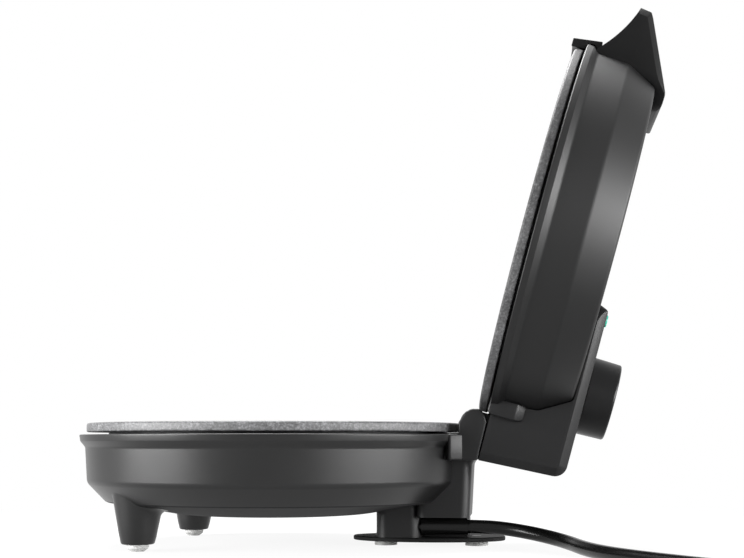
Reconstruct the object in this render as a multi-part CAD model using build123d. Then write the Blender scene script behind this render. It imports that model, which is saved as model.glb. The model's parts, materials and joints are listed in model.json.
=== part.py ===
from build123d import *
import os
from math import atan2, cos, degrees, pi, radians, sin, sqrt, tan

# All sizes in millimetres, angles in degrees.
# Frame while modelling: +Z up, the table at z = 0, the lower plate's axis at x = y = 0,
# the handle side at -X, the hinge at +X, and the side that faces the viewer at -Y.

# Cooking plates
plate_radius = 100.0
plate_face_height = 63.8     # lower plate's rim above the table
plate_edge = 4.7
plate_edge_round = 1.2
plate_rim_width = 6.0
plate_floor = 3.2
lower_recess = 3.2
upper_recess = 1.5
skirt_width = 4.0
skirt_depth = 4.3
skirt_inset = 11.5           # from the plate's edge to the skirt's outer face
closed_gap = 0.55            # between the two rims when the lid is down
post_radius = 4.5
heater_inset = 36.0          # from the plate's edge to the heater's middle
heater_tube_radius = 3.3
heater_flat = 0.6
heater_end_gap = 44.7        # between the heater's ends, along its ring
terminal_radius = 2.2
terminal_clearance = 1.5     # in the reflector
terminal_reach = 5.0         # below the reflector

# Heat reflector, shared by both halves
reflector_depth = 20.0       # from the plate's face to the reflector
reflector_sheet = 0.7
reflector_rim = 7.0
reflector_clearance = 0.5    # inside the plate's skirt

# Housings: lip, wall and bevels, as steps from the rim inward and away from the plate
rim_gap = 1.3                # see-through gap between plate edge and rim
plate_side_gap = 0.275       # round the plate, where the control housing comes close
rim_overhang = 3.7           # rim beyond the plate
lip_height = 3.4
lip_slope = 0.6
step_in = 3.2                # from the rim's radius to the wall's top
step_height = 6.5
housing_wall = 2.4
base_wall_depth = 30.8       # from the plate's face to the chamfer
base_wall_inset = 4.6
base_bevel_depth = 40.8
base_bevel_inset = 14.4
belly_edge_inset = 20.7
belly_edge_depth = 41.8
belly_flat_radius = 50.0
belly_flat_depth = 47.6
belly_depth = 47.8
lid_wall_depth = 29.3
lid_wall_inset = 4.8
lid_top_depth = 45.1
lid_top_inset = 13.5
lid_crown = 0.6
wall_corner = 5.0
step_corner = 2.5

# Screws
screw_radius = 1.5
screw_clearance = 0.25
screw_head_radius = 3.5
screw_head_height = 2.2
countersunk_radius = 3.0
counterbore_clearance = 0.4
boss_radius = 5.5
thread_depth = 8.0
base_seat_sink = 3.8         # screw heads' seats inside the belly's edge
lid_seat_sink = 4.1          # and inside the lid's top
side_seat_inset = 12.2       # side screws' seats inside the rim
side_screw_length = 17.0
pad_half = 5.0

# Base screws stand on a circle, lid screws hide under the handle and the panel.
# Their offsets are taken from the heater's ring.
base_screw_offset = 12.0
base_screw_angles = (180.0, 60.0, -60.0)
lid_front_offset = 14.5
lid_rear_offset = 14.0
lid_rear_screw_half = 16.0

# Hinge
hinge_reach = 7.3            # hinge axis beyond the plate's edge
open_angle = 105.8
pin_radius = 3.0
pin_clearance = 0.05
pin_inner = 17.5
pin_outer = 34.0
knuckle_radius = 6.4
knuckle_outer = 25.7
knuckle_side_gap = 0.3
knuckle_neck_half = 6.0
rim_relief = 0.6             # round the knuckles, in the base's rim

# Hinge tower on the base, heights and reaches taken from the hinge axis
tower_half_width = 36.0
tower_front = 19.3
tower_shoulder = 6.5
cheek_front = 6.8
cheek_shoulder = 5.3
cheek_shoulder_front = 3.3
cheek_top_front = 0.2
cheek_top = 6.9
cheek_top_rear = 3.7
cheek_rear = 7.4
tower_drop = 19.0
tower_rear_foot = 2.6
slot_floor = 9.2
slot_front = 11.3
ear_inner = 34.0
ear_outer = 40.0
base_ear_front = 13.6
base_ear_rear = 4.1
base_ear_top = 5.8
base_ear_corner = 1.6
base_ear_crest = 11.6        # before the hinge axis, where its outer face turns
base_ear_slant = 4.6         # how far that face falls back toward the rear
lower_tower_half = 25.0
lower_tower_front = 29.3
lower_tower_rear = 2.2
lower_tower_top_rear = 0.7
cord_wrap_gap = 10.5         # between the flange and the tower's floor
lower_tower_corner = 5.0
column_front = 50.8
column_rear = 27.3
column_half = 20.0
column_corner = 6.0
neck_half = 9.0
neck_front = 47.3
neck_rear = 2.7
tower_screw_half = 30.0
tower_screw_drop = 14.3

# Cord-wrap flange, feet and legs; places along x are steps from the hinge axis
flange_front = -64.5
flange_rear = 15.8
flange_half = 22.0
flange_thickness = 2.2
flange_edge = 0.8
rear_pad_height = 2.8
rear_pad_radius = 6.0
rear_pad_steps = (-47.3, 0.7)
pad_stem_radius = 2.5
pad_stem = 5.0
flange_screw_steps = (-37.3, -9.3)
front_foot_inset = 22.0      # from the rim
front_foot_angle = 44.36     # to each side of the handle
front_foot_height = 3.5
front_foot_radius = 5.5
front_foot_flat = 3.3
front_foot_dome = 1.75
front_foot_round = 1.6
leg_top_radius = 11.6
leg_bottom_radius = 8.5
leg_taper_height = 16.5
leg_edge = 1.2
leg_screw_gap = 4.9          # between the foot's stem and the screw's tip
leg_boss_height = 1.0        # above the belly's floor

# Vents in the belly
vent_count = 8
vent_circle = 30.0
vent_length = 14.0
vent_width = 3.0

# Handle, in the lid's frame: steps from the rim outward, and depths from the upper plate
handle_half_width = 38.0
handle_tip = 19.2
handle_tip_low = 27.5
handle_tip_high = 33.4
handle_tip_lean = 1.1
handle_top_front = 15.3
handle_top_front_depth = 34.9
handle_top_rear = -22.1
tongue_end = -29.8
tongue_rise = 5.7            # above the lid's top
tongue_sink = 2.0
tongue_corner = 17.0
tongue_round = 3.4
under_middle = (5.5, 21.3)
under_root = (-8.7, 10.0)
apron_half_width = 31.0
apron_drop = 2.3
apron_height = 15.3
apron_overhang = 1.3         # beyond the rim at the apron's lower edge
apron_flare = 1.4
apron_wall = 4.3
apron_clearance = 0.275
handle_screw_half = 22.0
handle_screw_depth = 24.0
handle_bend = 8.0
handle_tip_round = 1.0
handle_side_round = 2.4

# Control housing on the lid, steps from the hinge axis along the lid
control_half_width = 36.0
block_inner_depth = 7.5
block_rear_low = -17.5
block_rear_high = -14.7
block_rear_lean = 0.3
block_corner = 6.5
panel_rise = 6.1             # above the lid's top
panel_front = 76.3
panel_front_slope = 3.4
panel_plan_corner = 12.0
panel_edge = 2.0
control_side_round = 3.6
control_wall = 2.4
lid_ear_front = 15.3
lid_ear_rear = 6.4
lid_ear_low = 5.5
lid_ear_high = 24.0
lid_ear_end = 2.5
control_screw_half = 24.0
control_screw_depth = 22.0

# Thermostat, knob and indicator
knob_place = 30.0            # from the hinge axis
knob_radius = 20.7
knob_top_radius = 20.2
knob_height = 14.5
knob_gap = 0.8
knob_edge = 1.2
knob_wall = 2.2
knob_crown = 3.0
hub_radius = 6.0
shaft_radius = 3.0
shaft_clearance = 0.06
thermostat_half = 12.0
thermostat_height = 12.0
thermostat_collar_radius = 8.0
thermostat_collar = 4.0
shaft_end_gap = 0.3
shaft_floor = 2.0
bushing_radius = 5.0
bushing_clearance = 0.2
bushing_above = 1.0
indicator_place = 68.3       # from the hinge axis
indicator_y = 25.0
lens_radius = 3.2
lens_proud = 1.0
lens_edge = 0.6
lens_stem_radius = 2.9
lamp_radius = 2.25
lamp_clearance = 0.05
lamp_length = 14.0
lamp_hole_clearance = 0.3
lamp_cover = 1.0
lamp_gap = 0.2
lens_stem_gap = 0.6

# Wiring
block_length = 30.0
block_width = 14.0
block_height = 12.0
block_floor_gap = 0.2
block_hole_radius = 2.2
block_hole_depth = 5.0
block_hole_pitch = 9.4
fuse_radius = 2.0
fuse_length = 12.0
fuse_x = 20.0
lead_radius = 1.8
lead_side = 8.0
lead_bend = 4.0
lead_gap = 0.1
lead_hole_clearance = 0.4
lead_passage_clearance = 1.0
lead_drop = 28.0             # under the hinge axis
lead_start = 12.0            # before the hinge axis
lead_inset = 5.0             # before the hinge axis, inside the tower
lead_jog = (16.0, 9.0)       # under the hinge axis, where the lead leans toward it
lid_lead_rise = 8.5          # above the block's inner face

# Mains cord
cord_radius = 3.5
relief_root_radius = 4.4
relief_tip_radius = 4.0
relief_length = 24.0
relief_neck_radius = 3.0
relief_flange_radius = 3.1
relief_y = -14.2
relief_rise = 5.6            # above the flange
supply_radius = 3.0
supply_bend = 8.0
supply_entry_bend = 6.4
supply_drop = 41.3           # before the hinge axis
supply_run = 21.0            # from the drop to the terminal block
supply_entry_drop = 4.0
supply_hole_clearance = 1.5
cord_points = (
    (113.0, -14.2, 10.6),
    (124.9, -15.9, 9.6),
    (137.7, -21.6, 7.8),
    (147.9, -31.1, 6.1),
    (155.2, -44.2, 4.8),
    (161.0, -64.4, 3.8),
    (169.9, -88.8, 3.5),
    (184.4, -115.0, 3.5),
    (202.8, -141.2, 3.5),
)
cord_last_run = 24.0
coil_centre = (276.6, -162.9)
coil_radius = 44.5
coil_pitch = 8.5
coil_turns = 2.396
coil_start_angle = 217.4
coil_layer = 7.5
coil_turnaround = 0.08
coil_steps = 10

# Plug
plug_width = 37.0
plug_thickness = 26.0
plug_length = 29.0
plug_corner = 9.0
plug_back = 0.6              # size of the back against the face
plug_straight = 13.05        # full-size stretch behind the face
plug_relief_overlap = 2.0
plug_relief_wall = 0.8
plug_relief_root = 3.5
plug_relief = 25.0
plug_pin_radius = 2.4
plug_pin_length = 19.0
plug_pin_edge = 0.96
plug_pin_half = 9.5
plug_lead_runs = (8.0, 14.0, 9.0)
plug_lead_turn = 8.0

# Worked out from the sizes above
rim_depth = plate_edge + rim_gap
rim_radius = plate_radius + rim_overhang
skirt_radius = plate_radius - skirt_inset
reflector_back = reflector_depth + reflector_sheet
heater_radius = plate_radius - heater_inset
heater_arc = 360 - degrees(heater_end_gap / heater_radius)
base_seat_depth = belly_edge_depth - base_seat_sink
lid_seat_depth = lid_top_depth - lid_seat_sink
side_seat = rim_radius - side_seat_inset
tongue_depth = lid_top_depth + tongue_rise
control_top = lid_top_depth + panel_rise
hinge_x = plate_radius + hinge_reach
hinge_z = plate_face_height
knob_x = knob_place - hinge_x
indicator_x = indicator_place - hinge_x
lid_lead_depth = block_inner_depth + lid_lead_rise
lean = radians(open_angle - 90)
lid_up = Vector(sin(lean), 0, cos(lean))
lid_out = Vector(cos(lean), 0, -sin(lean))
hinge_point = Vector(hinge_x, 0, hinge_z)
lid_centre = hinge_point + lid_up * hinge_x + lid_out * closed_gap
base_frame = Plane(origin=(0, 0, plate_face_height), x_dir=(1, 0, 0), z_dir=(0, 0, -1))
lid_frame = Plane(origin=lid_centre, x_dir=lid_up, z_dir=lid_out)
flange_top = rear_pad_height + flange_thickness
tower_floor = flange_top + cord_wrap_gap
column_start = hinge_x - column_front
column_end = hinge_x - column_rear
relief_z = flange_top + relief_rise
supply_drop_x = hinge_x - supply_drop
pad_places = [hinge_x + step for step in rear_pad_steps]
flange_screw_places = [hinge_x + step for step in flange_screw_steps]
panel_inner = control_top - control_wall


# Shared shapes

def outline(points, corners=()):
    """Closed face through the points, with some corners rounded."""
    face = make_face(Polyline(*points, close=True))
    for index, radius in corners:
        face = fillet(face.vertices().sort_by_distance(points[index])[0], radius)
    return face


def turned(points, corners=()):
    """Solid of revolution about z, from points of radius and height."""
    return revolve(Plane.XZ * outline(points, corners), Axis.Z)


def slab(points, low, high, corners=()):
    """Solid between y = low and y = high, with its outline in x and z."""
    return extrude(Pos(0, high, 0) * (Plane.XZ * outline(points, corners)), high - low)


def side_edges(solid, half, low, high):
    """Edges in the planes y = -half and y = half, at x between low and high."""
    return [
        edge for edge in solid.edges()
        if all(abs(abs(vertex.Y) - half) < 0.01 for vertex in edge.vertices())
        and edge.length > 0.01 and low < edge.center().X < high
        and abs(abs(edge.center().Y) - half) < 0.01
    ]


def block(x, y, z):
    """Box between the two values given for each direction."""
    middle = Pos((x[0] + x[1]) / 2, (y[0] + y[1]) / 2, (z[0] + z[1]) / 2)
    return middle * Box(x[1] - x[0], y[1] - y[0], z[1] - z[0])


def upright(x, y, low, high, radius, top_radius=None):
    """Cylinder or cone along z, from low to high."""
    place = Pos(x, y, (low + high) / 2)
    if top_radius is None:
        return place * Cylinder(radius, high - low)
    return place * Cone(radius, top_radius, high - low)


def along_x(start, end, y, z, radius):
    """Cylinder along x."""
    return Pos((start + end) / 2, y, z) * Rot(0, 90, 0) * Cylinder(radius, abs(end - start))


def along_y(x, z, start, end, radius):
    """Cylinder along y."""
    return Pos(x, (start + end) / 2, z) * Rot(90, 0, 0) * Cylinder(radius, abs(end - start))


def inset(path, distance):
    """Outline of radius and depth moved inward by a wall's thickness."""
    moved = []
    last = len(path) - 1
    for index, (x, y) in enumerate(path):
        before = path[max(index - 1, 0)]
        after = path[min(index + 1, last)]
        first = atan2(y - before[1], x - before[0])
        second = atan2(after[1] - y, after[0] - x)
        if index == 0:
            moved.append((x - distance / abs(sin(second)), y))
            continue
        if index == last:
            moved.append((0, y - distance))
            continue
        middle = (first + second) / 2
        reach = distance / cos((second - first) / 2)
        moved.append((x - reach * sin(middle), y + reach * cos(middle)))
    return moved


def tube(path, radius):
    """Round solid along a path."""
    return sweep(Plane(origin=path @ 0, z_dir=path % 0) * Circle(radius), path=path)


# Both halves of the cooker are stacked alike: plate, heater, reflector, housing.
# Their frame has its origin on the plate's rim and +z into the housing.

def shell_path(wall_inset, wall_depth, rest):
    """Outside of a housing from its rim to its axis."""
    return [
        (rim_radius, rim_depth),
        (rim_radius - lip_slope, rim_depth + lip_height),
        (rim_radius - step_in, rim_depth + step_height),
        (rim_radius - wall_inset, wall_depth),
    ] + rest


base_path = shell_path(base_wall_inset, base_wall_depth, [
    (rim_radius - base_bevel_inset, base_bevel_depth),
    (rim_radius - belly_edge_inset, belly_edge_depth),
    (belly_flat_radius, belly_flat_depth),
    (0, belly_depth),
])
lid_path = shell_path(lid_wall_inset, lid_wall_depth, [
    (rim_radius - lid_top_inset, lid_top_depth),
    (0, lid_top_depth + lid_crown),
])


def filled(path):
    """Solid bounded by a housing's outside and the plane of its rim."""
    return turned(path + [(0, rim_depth)], ((3, wall_corner), (2, step_corner)))


def housing_shell(path, bosses, seat):
    """Housing wall with screw bosses that reach the reflector."""
    inner = inset(path, housing_wall)
    outside = filled(path)
    far = seat + plate_radius
    wall = outside - turned(inner + [(0, rim_depth - 1), (inner[0][0], rim_depth - 1)])
    for x, y in bosses:
        wall += upright(x, y, reflector_back, far, boss_radius) & outside
        wall -= upright(x, y, reflector_back - 1, far, screw_radius + screw_clearance)
        wall -= upright(x, y, seat, far, screw_head_radius + counterbore_clearance)
    return wall


def cooking_plate(recess, posts):
    """Cast plate with its raised rim, skirt and threaded posts."""
    inner_rim = plate_radius - plate_rim_width
    back = recess + plate_floor
    skirt_end = plate_edge + skirt_depth
    plate = turned([
        (0, recess),
        (inner_rim - recess, recess),
        (inner_rim, 0),
        (plate_radius, 0),
        (plate_radius, plate_edge),
        (skirt_radius, plate_edge),
        (skirt_radius, skirt_end),
        (skirt_radius - skirt_width, skirt_end),
        (skirt_radius - skirt_width, back),
        (0, back),
    ], ((3, plate_edge_round),))
    for x, y in posts:
        plate += upright(x, y, back, reflector_depth, post_radius)
        plate -= upright(x, y, reflector_depth - thread_depth, reflector_depth, screw_radius)
    return plate


def terminal_places(gap_angle):
    """Where the two ends of the heater lie."""
    half_gap = (360 - heater_arc) / 2
    angles = (radians(gap_angle + half_gap), radians(gap_angle - half_gap))
    return [(heater_radius * cos(angle), heater_radius * sin(angle)) for angle in angles]


def heating_element(recess, gap_angle):
    """Tubular heater, flattened against the plate's back, with two terminals."""
    back = recess + plate_floor
    centre = back + heater_tube_radius - heater_flat
    half_gap = (360 - heater_arc) / 2
    ring = Plane.XZ * Pos(heater_radius, centre) * Circle(heater_tube_radius)
    coil = Rot(0, 0, gap_angle + half_gap) * revolve(ring, Axis.Z, heater_arc)
    coil -= upright(0, 0, back - heater_tube_radius, back, heater_radius * 2)
    for x, y in terminal_places(gap_angle):
        coil += upright(x, y, centre, reflector_back + terminal_reach, terminal_radius)
    return coil


def heat_reflector(posts, gap_angle):
    """Shallow dish of sheet under the heater."""
    radius = skirt_radius - skirt_width - reflector_clearance
    top = reflector_depth - reflector_rim
    dish = turned([
        (0, reflector_depth),
        (radius - reflector_sheet, reflector_depth),
        (radius - reflector_sheet, top),
        (radius, top),
        (radius, reflector_back),
        (0, reflector_back),
    ])
    for x, y in posts:
        dish -= upright(x, y, top, reflector_back + 1, screw_radius + screw_clearance)
    for x, y in terminal_places(gap_angle):
        dish -= upright(x, y, top, reflector_back + 1, terminal_radius + terminal_clearance)
    return dish


def plate_screws(posts, seat):
    """Screws from outside, through the housing's bosses, into the plate's posts."""
    screws = Part()
    for x, y in posts:
        screw = upright(x, y, reflector_depth - thread_depth, seat, screw_radius)
        screws += screw + upright(x, y, seat, seat + screw_head_height, screw_head_radius)
    return screws


def side_screws(places, seat, heading):
    """Screws along x, with their heads on the pads inside a housing."""
    screws = Part()
    for y, z in places:
        tip = seat + heading * side_screw_length
        screw = along_x(seat, tip, y, z, screw_radius)
        screws += screw + along_x(seat, seat - heading * screw_head_height, y, z, screw_head_radius)
    return screws


def side_pads(outside, places, seat):
    """Flat pads inside a housing's wall, one for each side screw."""
    pads = Part()
    far = seat + plate_radius if seat > 0 else seat - plate_radius
    for y, z in places:
        span_y = (y - pad_half, y + pad_half)
        span_z = (z - pad_half, z + pad_half)
        pads += block(sorted((seat, far)), span_y, span_z) & outside
    return pads


def side_holes(places, seat, length):
    """Clearance holes for the side screws."""
    holes = Part()
    for y, z in places:
        start = seat - 1 if seat > 0 else seat + 1
        end = seat + length if seat > 0 else seat - length
        holes += along_x(start, end, y, z, screw_radius + screw_clearance)
    return holes


# Places of the screws

screw_circle = heater_radius + base_screw_offset
foot_circle = rim_radius - front_foot_inset
foot_angle = radians(front_foot_angle)
base_posts = [
    (screw_circle * cos(radians(angle)), screw_circle * sin(radians(angle)))
    for angle in base_screw_angles
]
lid_posts = [(heater_radius + lid_front_offset, 0)] + [
    (lid_rear_offset - heater_radius, side * lid_rear_screw_half) for side in (-1, 1)
]
tower_screw_places = [
    (side * tower_screw_half, tower_screw_drop) for side in (-1, 1)
]
handle_screw_places = [(side * handle_screw_half, handle_screw_depth) for side in (-1, 1)]
control_screw_places = [(side * control_screw_half, control_screw_depth) for side in (-1, 1)]
leg_places = [
    (-foot_circle * cos(foot_angle), side * foot_circle * sin(foot_angle)) for side in (-1, 1)
]
base_outside = filled(base_path)
lid_outside = filled(lid_path)
belly_inside = plate_face_height - belly_depth + housing_wall
lid_inner_top = inset(lid_path, housing_wall)[4][1]


# Base

def leg_screw_seat():
    """Height of the bosses that the leg screws press on."""
    return plate_face_height - belly_edge_depth + housing_wall + leg_boss_height


def leg_screw_tip():
    """Height of the leg screws' tips."""
    return front_foot_height + pad_stem + leg_screw_gap


def base_housing():
    """Bowl of the base, with pads, vents and the passages for leads."""
    bowl = housing_shell(base_path, base_posts, base_seat_depth)
    bowl += side_pads(base_outside, tower_screw_places, side_seat)
    bowl -= side_holes(tower_screw_places, side_seat, side_screw_length)
    bowl = base_frame * bowl
    for x, y in leg_places:
        boss = upright(x, y, 0, leg_screw_seat(), boss_radius)
        bowl += boss & (base_frame * base_outside)
        bowl -= upright(x, y, 0, plate_face_height, screw_radius + screw_clearance)
    for index in range(vent_count):
        slot = extrude(SlotOverall(vent_length, vent_width), plate_face_height - reflector_back)
        bowl -= Rot(0, 0, (index + 0.5) * 360 / vent_count) * Pos(vent_circle, 0, 0) * slot
    relief = knuckle_outer + rim_relief
    bowl -= along_y(hinge_x, hinge_z, -relief, relief, knuckle_radius + rim_relief)
    passage = supply_radius + supply_hole_clearance
    bowl -= upright(supply_drop_x, relief_y, 0, belly_inside + block_height, passage)
    bowl -= along_x(side_seat - pad_half, hinge_x, -lead_side, hinge_z - lead_drop,
                    lead_radius + lead_passage_clearance)
    return bowl


def front_leg(x, y):
    """Tapered leg that meets the belly, with a socket for its foot."""
    top = plate_face_height - base_wall_depth
    grow = (leg_top_radius - leg_bottom_radius) / leg_taper_height
    leg = turned([
        (0, front_foot_height),
        (leg_bottom_radius, front_foot_height),
        (leg_bottom_radius + grow * (top - front_foot_height), top),
        (0, top),
    ], ((1, leg_edge),))
    leg = Pos(x, y, 0) * leg - base_frame * base_outside
    leg -= upright(x, y, 0, front_foot_height + pad_stem, pad_stem_radius)
    leg -= upright(x, y, leg_screw_tip(), plate_face_height, screw_radius)
    return leg


def front_feet():
    """Rubber domes with stems."""
    feet = Part()
    for x, y in leg_places:
        dome = turned([
            (0, 0),
            (front_foot_flat, 0),
            (front_foot_radius, front_foot_dome),
            (front_foot_radius, front_foot_height),
            (0, front_foot_height),
        ], ((2, front_foot_round),))
        stem = upright(0, 0, front_foot_height, front_foot_height + pad_stem, pad_stem_radius)
        feet += Pos(x, y, 0) * (dome + stem)
    return feet


def leg_screws():
    """One screw down into each leg."""
    screws = Part()
    seat = leg_screw_seat()
    for x, y in leg_places:
        screws += upright(x, y, leg_screw_tip(), seat, screw_radius)
        screws += upright(x, y, seat, seat + screw_head_height, screw_head_radius)
    return screws


def tower_head():
    """Hinge block with its two cheeks, as an outline in x and z."""
    low = (hinge_x - tower_front, hinge_z - tower_drop)
    crown = (hinge_x + cheek_top_rear, hinge_z + cheek_top)
    rear = (hinge_x + cheek_rear, hinge_z)
    bulge = (hinge_x + cheek_rear * cos(radians(31)), hinge_z + cheek_rear * sin(radians(31)))
    front = Polyline(
        low,
        (hinge_x - tower_front, hinge_z - tower_shoulder),
        (hinge_x - cheek_front, hinge_z - tower_shoulder),
        (hinge_x - cheek_front, hinge_z),
        (hinge_x - cheek_shoulder_front, hinge_z + cheek_shoulder),
        (hinge_x - cheek_top_front, hinge_z + cheek_top),
        crown,
    )
    back = Polyline(rear, (hinge_x + tower_rear_foot, hinge_z - tower_drop), low)
    face = make_face(front + ThreePointArc(crown, bulge, rear) + back)
    head = extrude(Pos(0, tower_half_width, 0) * (Plane.XZ * face), 2 * tower_half_width)
    slot = knuckle_outer + knuckle_side_gap
    return head - block(
        (hinge_x - slot_front, hinge_x + 2 * cheek_rear),
        (-slot, slot),
        (hinge_z - slot_floor, hinge_z + 2 * cheek_top),
    )


def base_ears():
    """Small blocks that flank the tower under the rim."""
    ears = Part()
    for side in (-1, 1):
        inner = side * (2 * ear_inner - ear_outer)
        plan = make_face(Polyline(
            (hinge_x - base_ear_front, inner),
            (hinge_x - base_ear_front, side * (ear_outer - 2 * base_ear_corner)),
            (hinge_x - base_ear_crest, side * ear_outer),
            (hinge_x - base_ear_rear, side * (ear_outer - base_ear_slant)),
            (hinge_x - base_ear_rear, inner),
            close=True,
        ))
        corners = plan.vertices().sort_by(lambda vertex: abs(vertex.Y))[2:]
        plan = fillet(corners, base_ear_corner)
        ear = extrude(plan, tower_drop - base_ear_top)
        ears += Pos(0, 0, hinge_z - tower_drop) * ear
    return ears


def riser_points():
    """Points of the lead's way up through the tower to the hinge axis."""
    return [
        (hinge_x - lead_inset, -lead_side, hinge_z - lead_drop),
        (hinge_x - lead_inset, -lead_side, hinge_z - lead_jog[0]),
        (hinge_x, -lead_side, hinge_z - lead_jog[1]),
        (hinge_x, -lead_side, hinge_z),
    ]


def hinge_tower():
    """Tower that carries the hinge and stands on the rear flange."""
    split = hinge_z - tower_drop
    lower = slab([
        (hinge_x - lower_tower_front, tower_floor),
        (hinge_x - lower_tower_rear, tower_floor),
        (hinge_x - lower_tower_top_rear, split + 1),
        (hinge_x - lower_tower_front, split + 1),
    ], -lower_tower_half, lower_tower_half)
    rear_edges = lower.edges().filter_by(lambda edge: abs((edge % 0).Z) > 0.9).group_by(Axis.X)[-1]
    lower = fillet(rear_edges, lower_tower_corner)
    inner_half = lower_tower_half - control_wall
    hollow = block(
        (column_end - 2 * control_wall, hinge_x - lower_tower_rear - control_wall),
        (-inner_half, inner_half),
        (tower_floor + control_wall, hinge_z - slot_floor - control_wall),
    )
    neck = block(
        (hinge_x - neck_front, hinge_x - neck_rear),
        (-neck_half, neck_half),
        (flange_top, tower_floor + 1),
    )
    plan = RectangleRounded(column_end - column_start, 2 * column_half, column_corner)
    column_height = hinge_z - flange_top - base_wall_depth
    column = Pos((column_start + column_end) / 2, 0, flange_top) * extrude(plan, column_height)
    inside = block(
        (column_start + control_wall, column_end - control_wall),
        (control_wall - column_half, column_half - control_wall),
        (flange_top + control_wall, hinge_z),
    )
    bars = block((column_start, column_end), (-neck_half, neck_half), (flange_top, tower_floor))
    tower = tower_head() + base_ears() + lower - hollow
    tower += (column - inside) + (bars & column) + neck
    tower -= base_frame * base_outside
    for y, drop in tower_screw_places:
        tip = side_seat + side_screw_length
        tower -= along_x(side_seat, tip, y, hinge_z - drop, screw_radius)
    tower -= along_y(hinge_x, hinge_z, -pin_outer, pin_outer, pin_radius)
    tower -= along_x(column_end - control_wall - 1, column_end + 1, relief_y, relief_z,
                     relief_neck_radius)
    for x in flange_screw_places:
        tower -= upright(x, 0, 0, flange_top + thread_depth, screw_radius)
    passage = lead_radius + lead_passage_clearance
    tower -= along_x(side_seat, hinge_x - lead_inset, -lead_side, hinge_z - lead_drop, passage)
    riser = FilletPolyline(*riser_points(), radius=[lead_bend, lead_bend])
    tower -= tube(riser, lead_radius + lead_hole_clearance)
    return tower


def countersunk_head(x):
    """Cone of a countersunk screw in the flange's underside."""
    high = rear_pad_height + countersunk_radius - screw_radius
    return upright(x, 0, rear_pad_height, high, countersunk_radius, screw_radius)


def cord_wrap_flange():
    """Oval foot plate that keeps a wound cord from slipping off."""
    length = flange_rear - flange_front
    middle = hinge_x + (flange_front + flange_rear) / 2
    plan = make_face(Ellipse(length / 2, flange_half).edge())
    plate = extrude(plan, flange_thickness)
    plate = chamfer(plate.edges(), flange_edge / 2)
    plate = Pos(middle, 0, rear_pad_height) * plate
    for x in pad_places:
        plate -= upright(x, 0, 0, flange_top + 1, pad_stem_radius)
    for x in flange_screw_places:
        plate -= upright(x, 0, 0, flange_top + 1, screw_radius + screw_clearance)
        plate -= countersunk_head(x)
    return plate


def flange_screws():
    """Countersunk screws that hold the flange to the tower."""
    screws = Part()
    for x in flange_screw_places:
        screws += upright(x, 0, rear_pad_height, flange_top + thread_depth, screw_radius)
        screws += countersunk_head(x)
    return screws


def rear_pads():
    """Rubber pads pressed into the flange."""
    pads = Part()
    for x in pad_places:
        pads += upright(x, 0, 0, rear_pad_height, rear_pad_radius)
        pads += upright(x, 0, rear_pad_height, flange_top, pad_stem_radius)
    return pads


def hinge_pins():
    """Two short pins, pressed into the cheeks and free in the knuckles."""
    pins = Part()
    for side in (-1, 1):
        pins += along_y(hinge_x, hinge_z, side * pin_inner, side * pin_outer, pin_radius)
    return pins


# Wiring of the base

def terminal_block():
    """Connector block on the belly's floor."""
    end = supply_drop_x - supply_run
    low = belly_inside + block_floor_gap
    top = low + block_height
    body = block((end - block_length, end), (-block_width / 2, block_width / 2), (low, top))
    for step in (-1, 0, 1):
        x = end - block_length / 2 + step * block_hole_pitch
        body -= upright(x, 0, top - block_hole_depth, top, block_hole_radius)
    return body


def thermal_fuse():
    """Cut-out that lies on the reflector's back."""
    z = plate_face_height - reflector_back - fuse_radius
    return along_x(fuse_x - fuse_length / 2, fuse_x + fuse_length / 2, 0, z, fuse_radius)


def supply_lead():
    """Inner stretch of the mains cord, from its relief to the terminal block."""
    top = belly_inside + block_height
    entry = supply_drop_x - supply_run
    path = FilletPolyline(
        (column_end - 2 * control_wall, relief_y, relief_z),
        (supply_drop_x, relief_y, relief_z),
        (supply_drop_x, relief_y, top),
        (entry + supply_bend, 0, top - supply_entry_drop),
        (entry, 0, top - supply_entry_drop),
        radius=[supply_bend, supply_bend, supply_entry_bend],
    )
    return tube(path, supply_radius)


def hinge_lead():
    """Heater lead that rises through the tower and ends on the hinge axis."""
    path = FilletPolyline(
        (hinge_x - lead_start, -lead_side, hinge_z - lead_drop),
        *riser_points(),
        (hinge_x, -lead_gap / 2, hinge_z),
        radius=[lead_bend] * 4,
    )
    return tube(path, lead_radius)


# Cord, coil and plug

def coil_point(turn):
    """Centre of the wound cord after some turns: in, up a layer, and out again."""
    middle = coil_turns / 2
    swing = sqrt(middle ** 2 + coil_turnaround ** 2)
    drawn_in = swing - sqrt((turn - middle) ** 2 + coil_turnaround ** 2)
    radius = coil_radius - coil_pitch * drawn_in
    climb = min(max((turn - middle) * 2 + 0.5, 0), 1)
    height = cord_radius + coil_layer * climb ** 2 * (3 - 2 * climb)
    angle = radians(coil_start_angle) + 2 * pi * turn
    return Vector(
        coil_centre[0] + radius * cos(angle),
        coil_centre[1] + radius * sin(angle),
        height,
    )


def coil_heading(turn):
    """Direction of the wound cord."""
    step = 0.0005
    return (coil_point(turn + step) - coil_point(turn - step)).normalized()


def biarc(start, heading, end, end_heading):
    """Two arcs that join smoothly and meet both headings."""
    chord = end - start
    total = heading + end_heading
    spread = 2 * (1 - heading.dot(end_heading))
    along = chord.dot(total)
    reach = (sqrt(along ** 2 + spread * chord.dot(chord)) - along) / spread
    middle = (start + end + (heading - end_heading) * reach) / 2
    middle_heading = (end - end_heading * reach) - (start + heading * reach)
    return [
        Edge.make_tangent_arc(start, heading, middle),
        Edge.make_tangent_arc(middle, middle_heading.normalized(), end),
    ]


def coil_ends():
    """Both ends of the coil, with their headings."""
    first = coil_heading(0)
    last = coil_heading(coil_turns)
    start = coil_point(0) - first * 2 * cord_radius
    end = coil_point(coil_turns) + last * 2 * cord_radius
    return start, first, end, last


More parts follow.
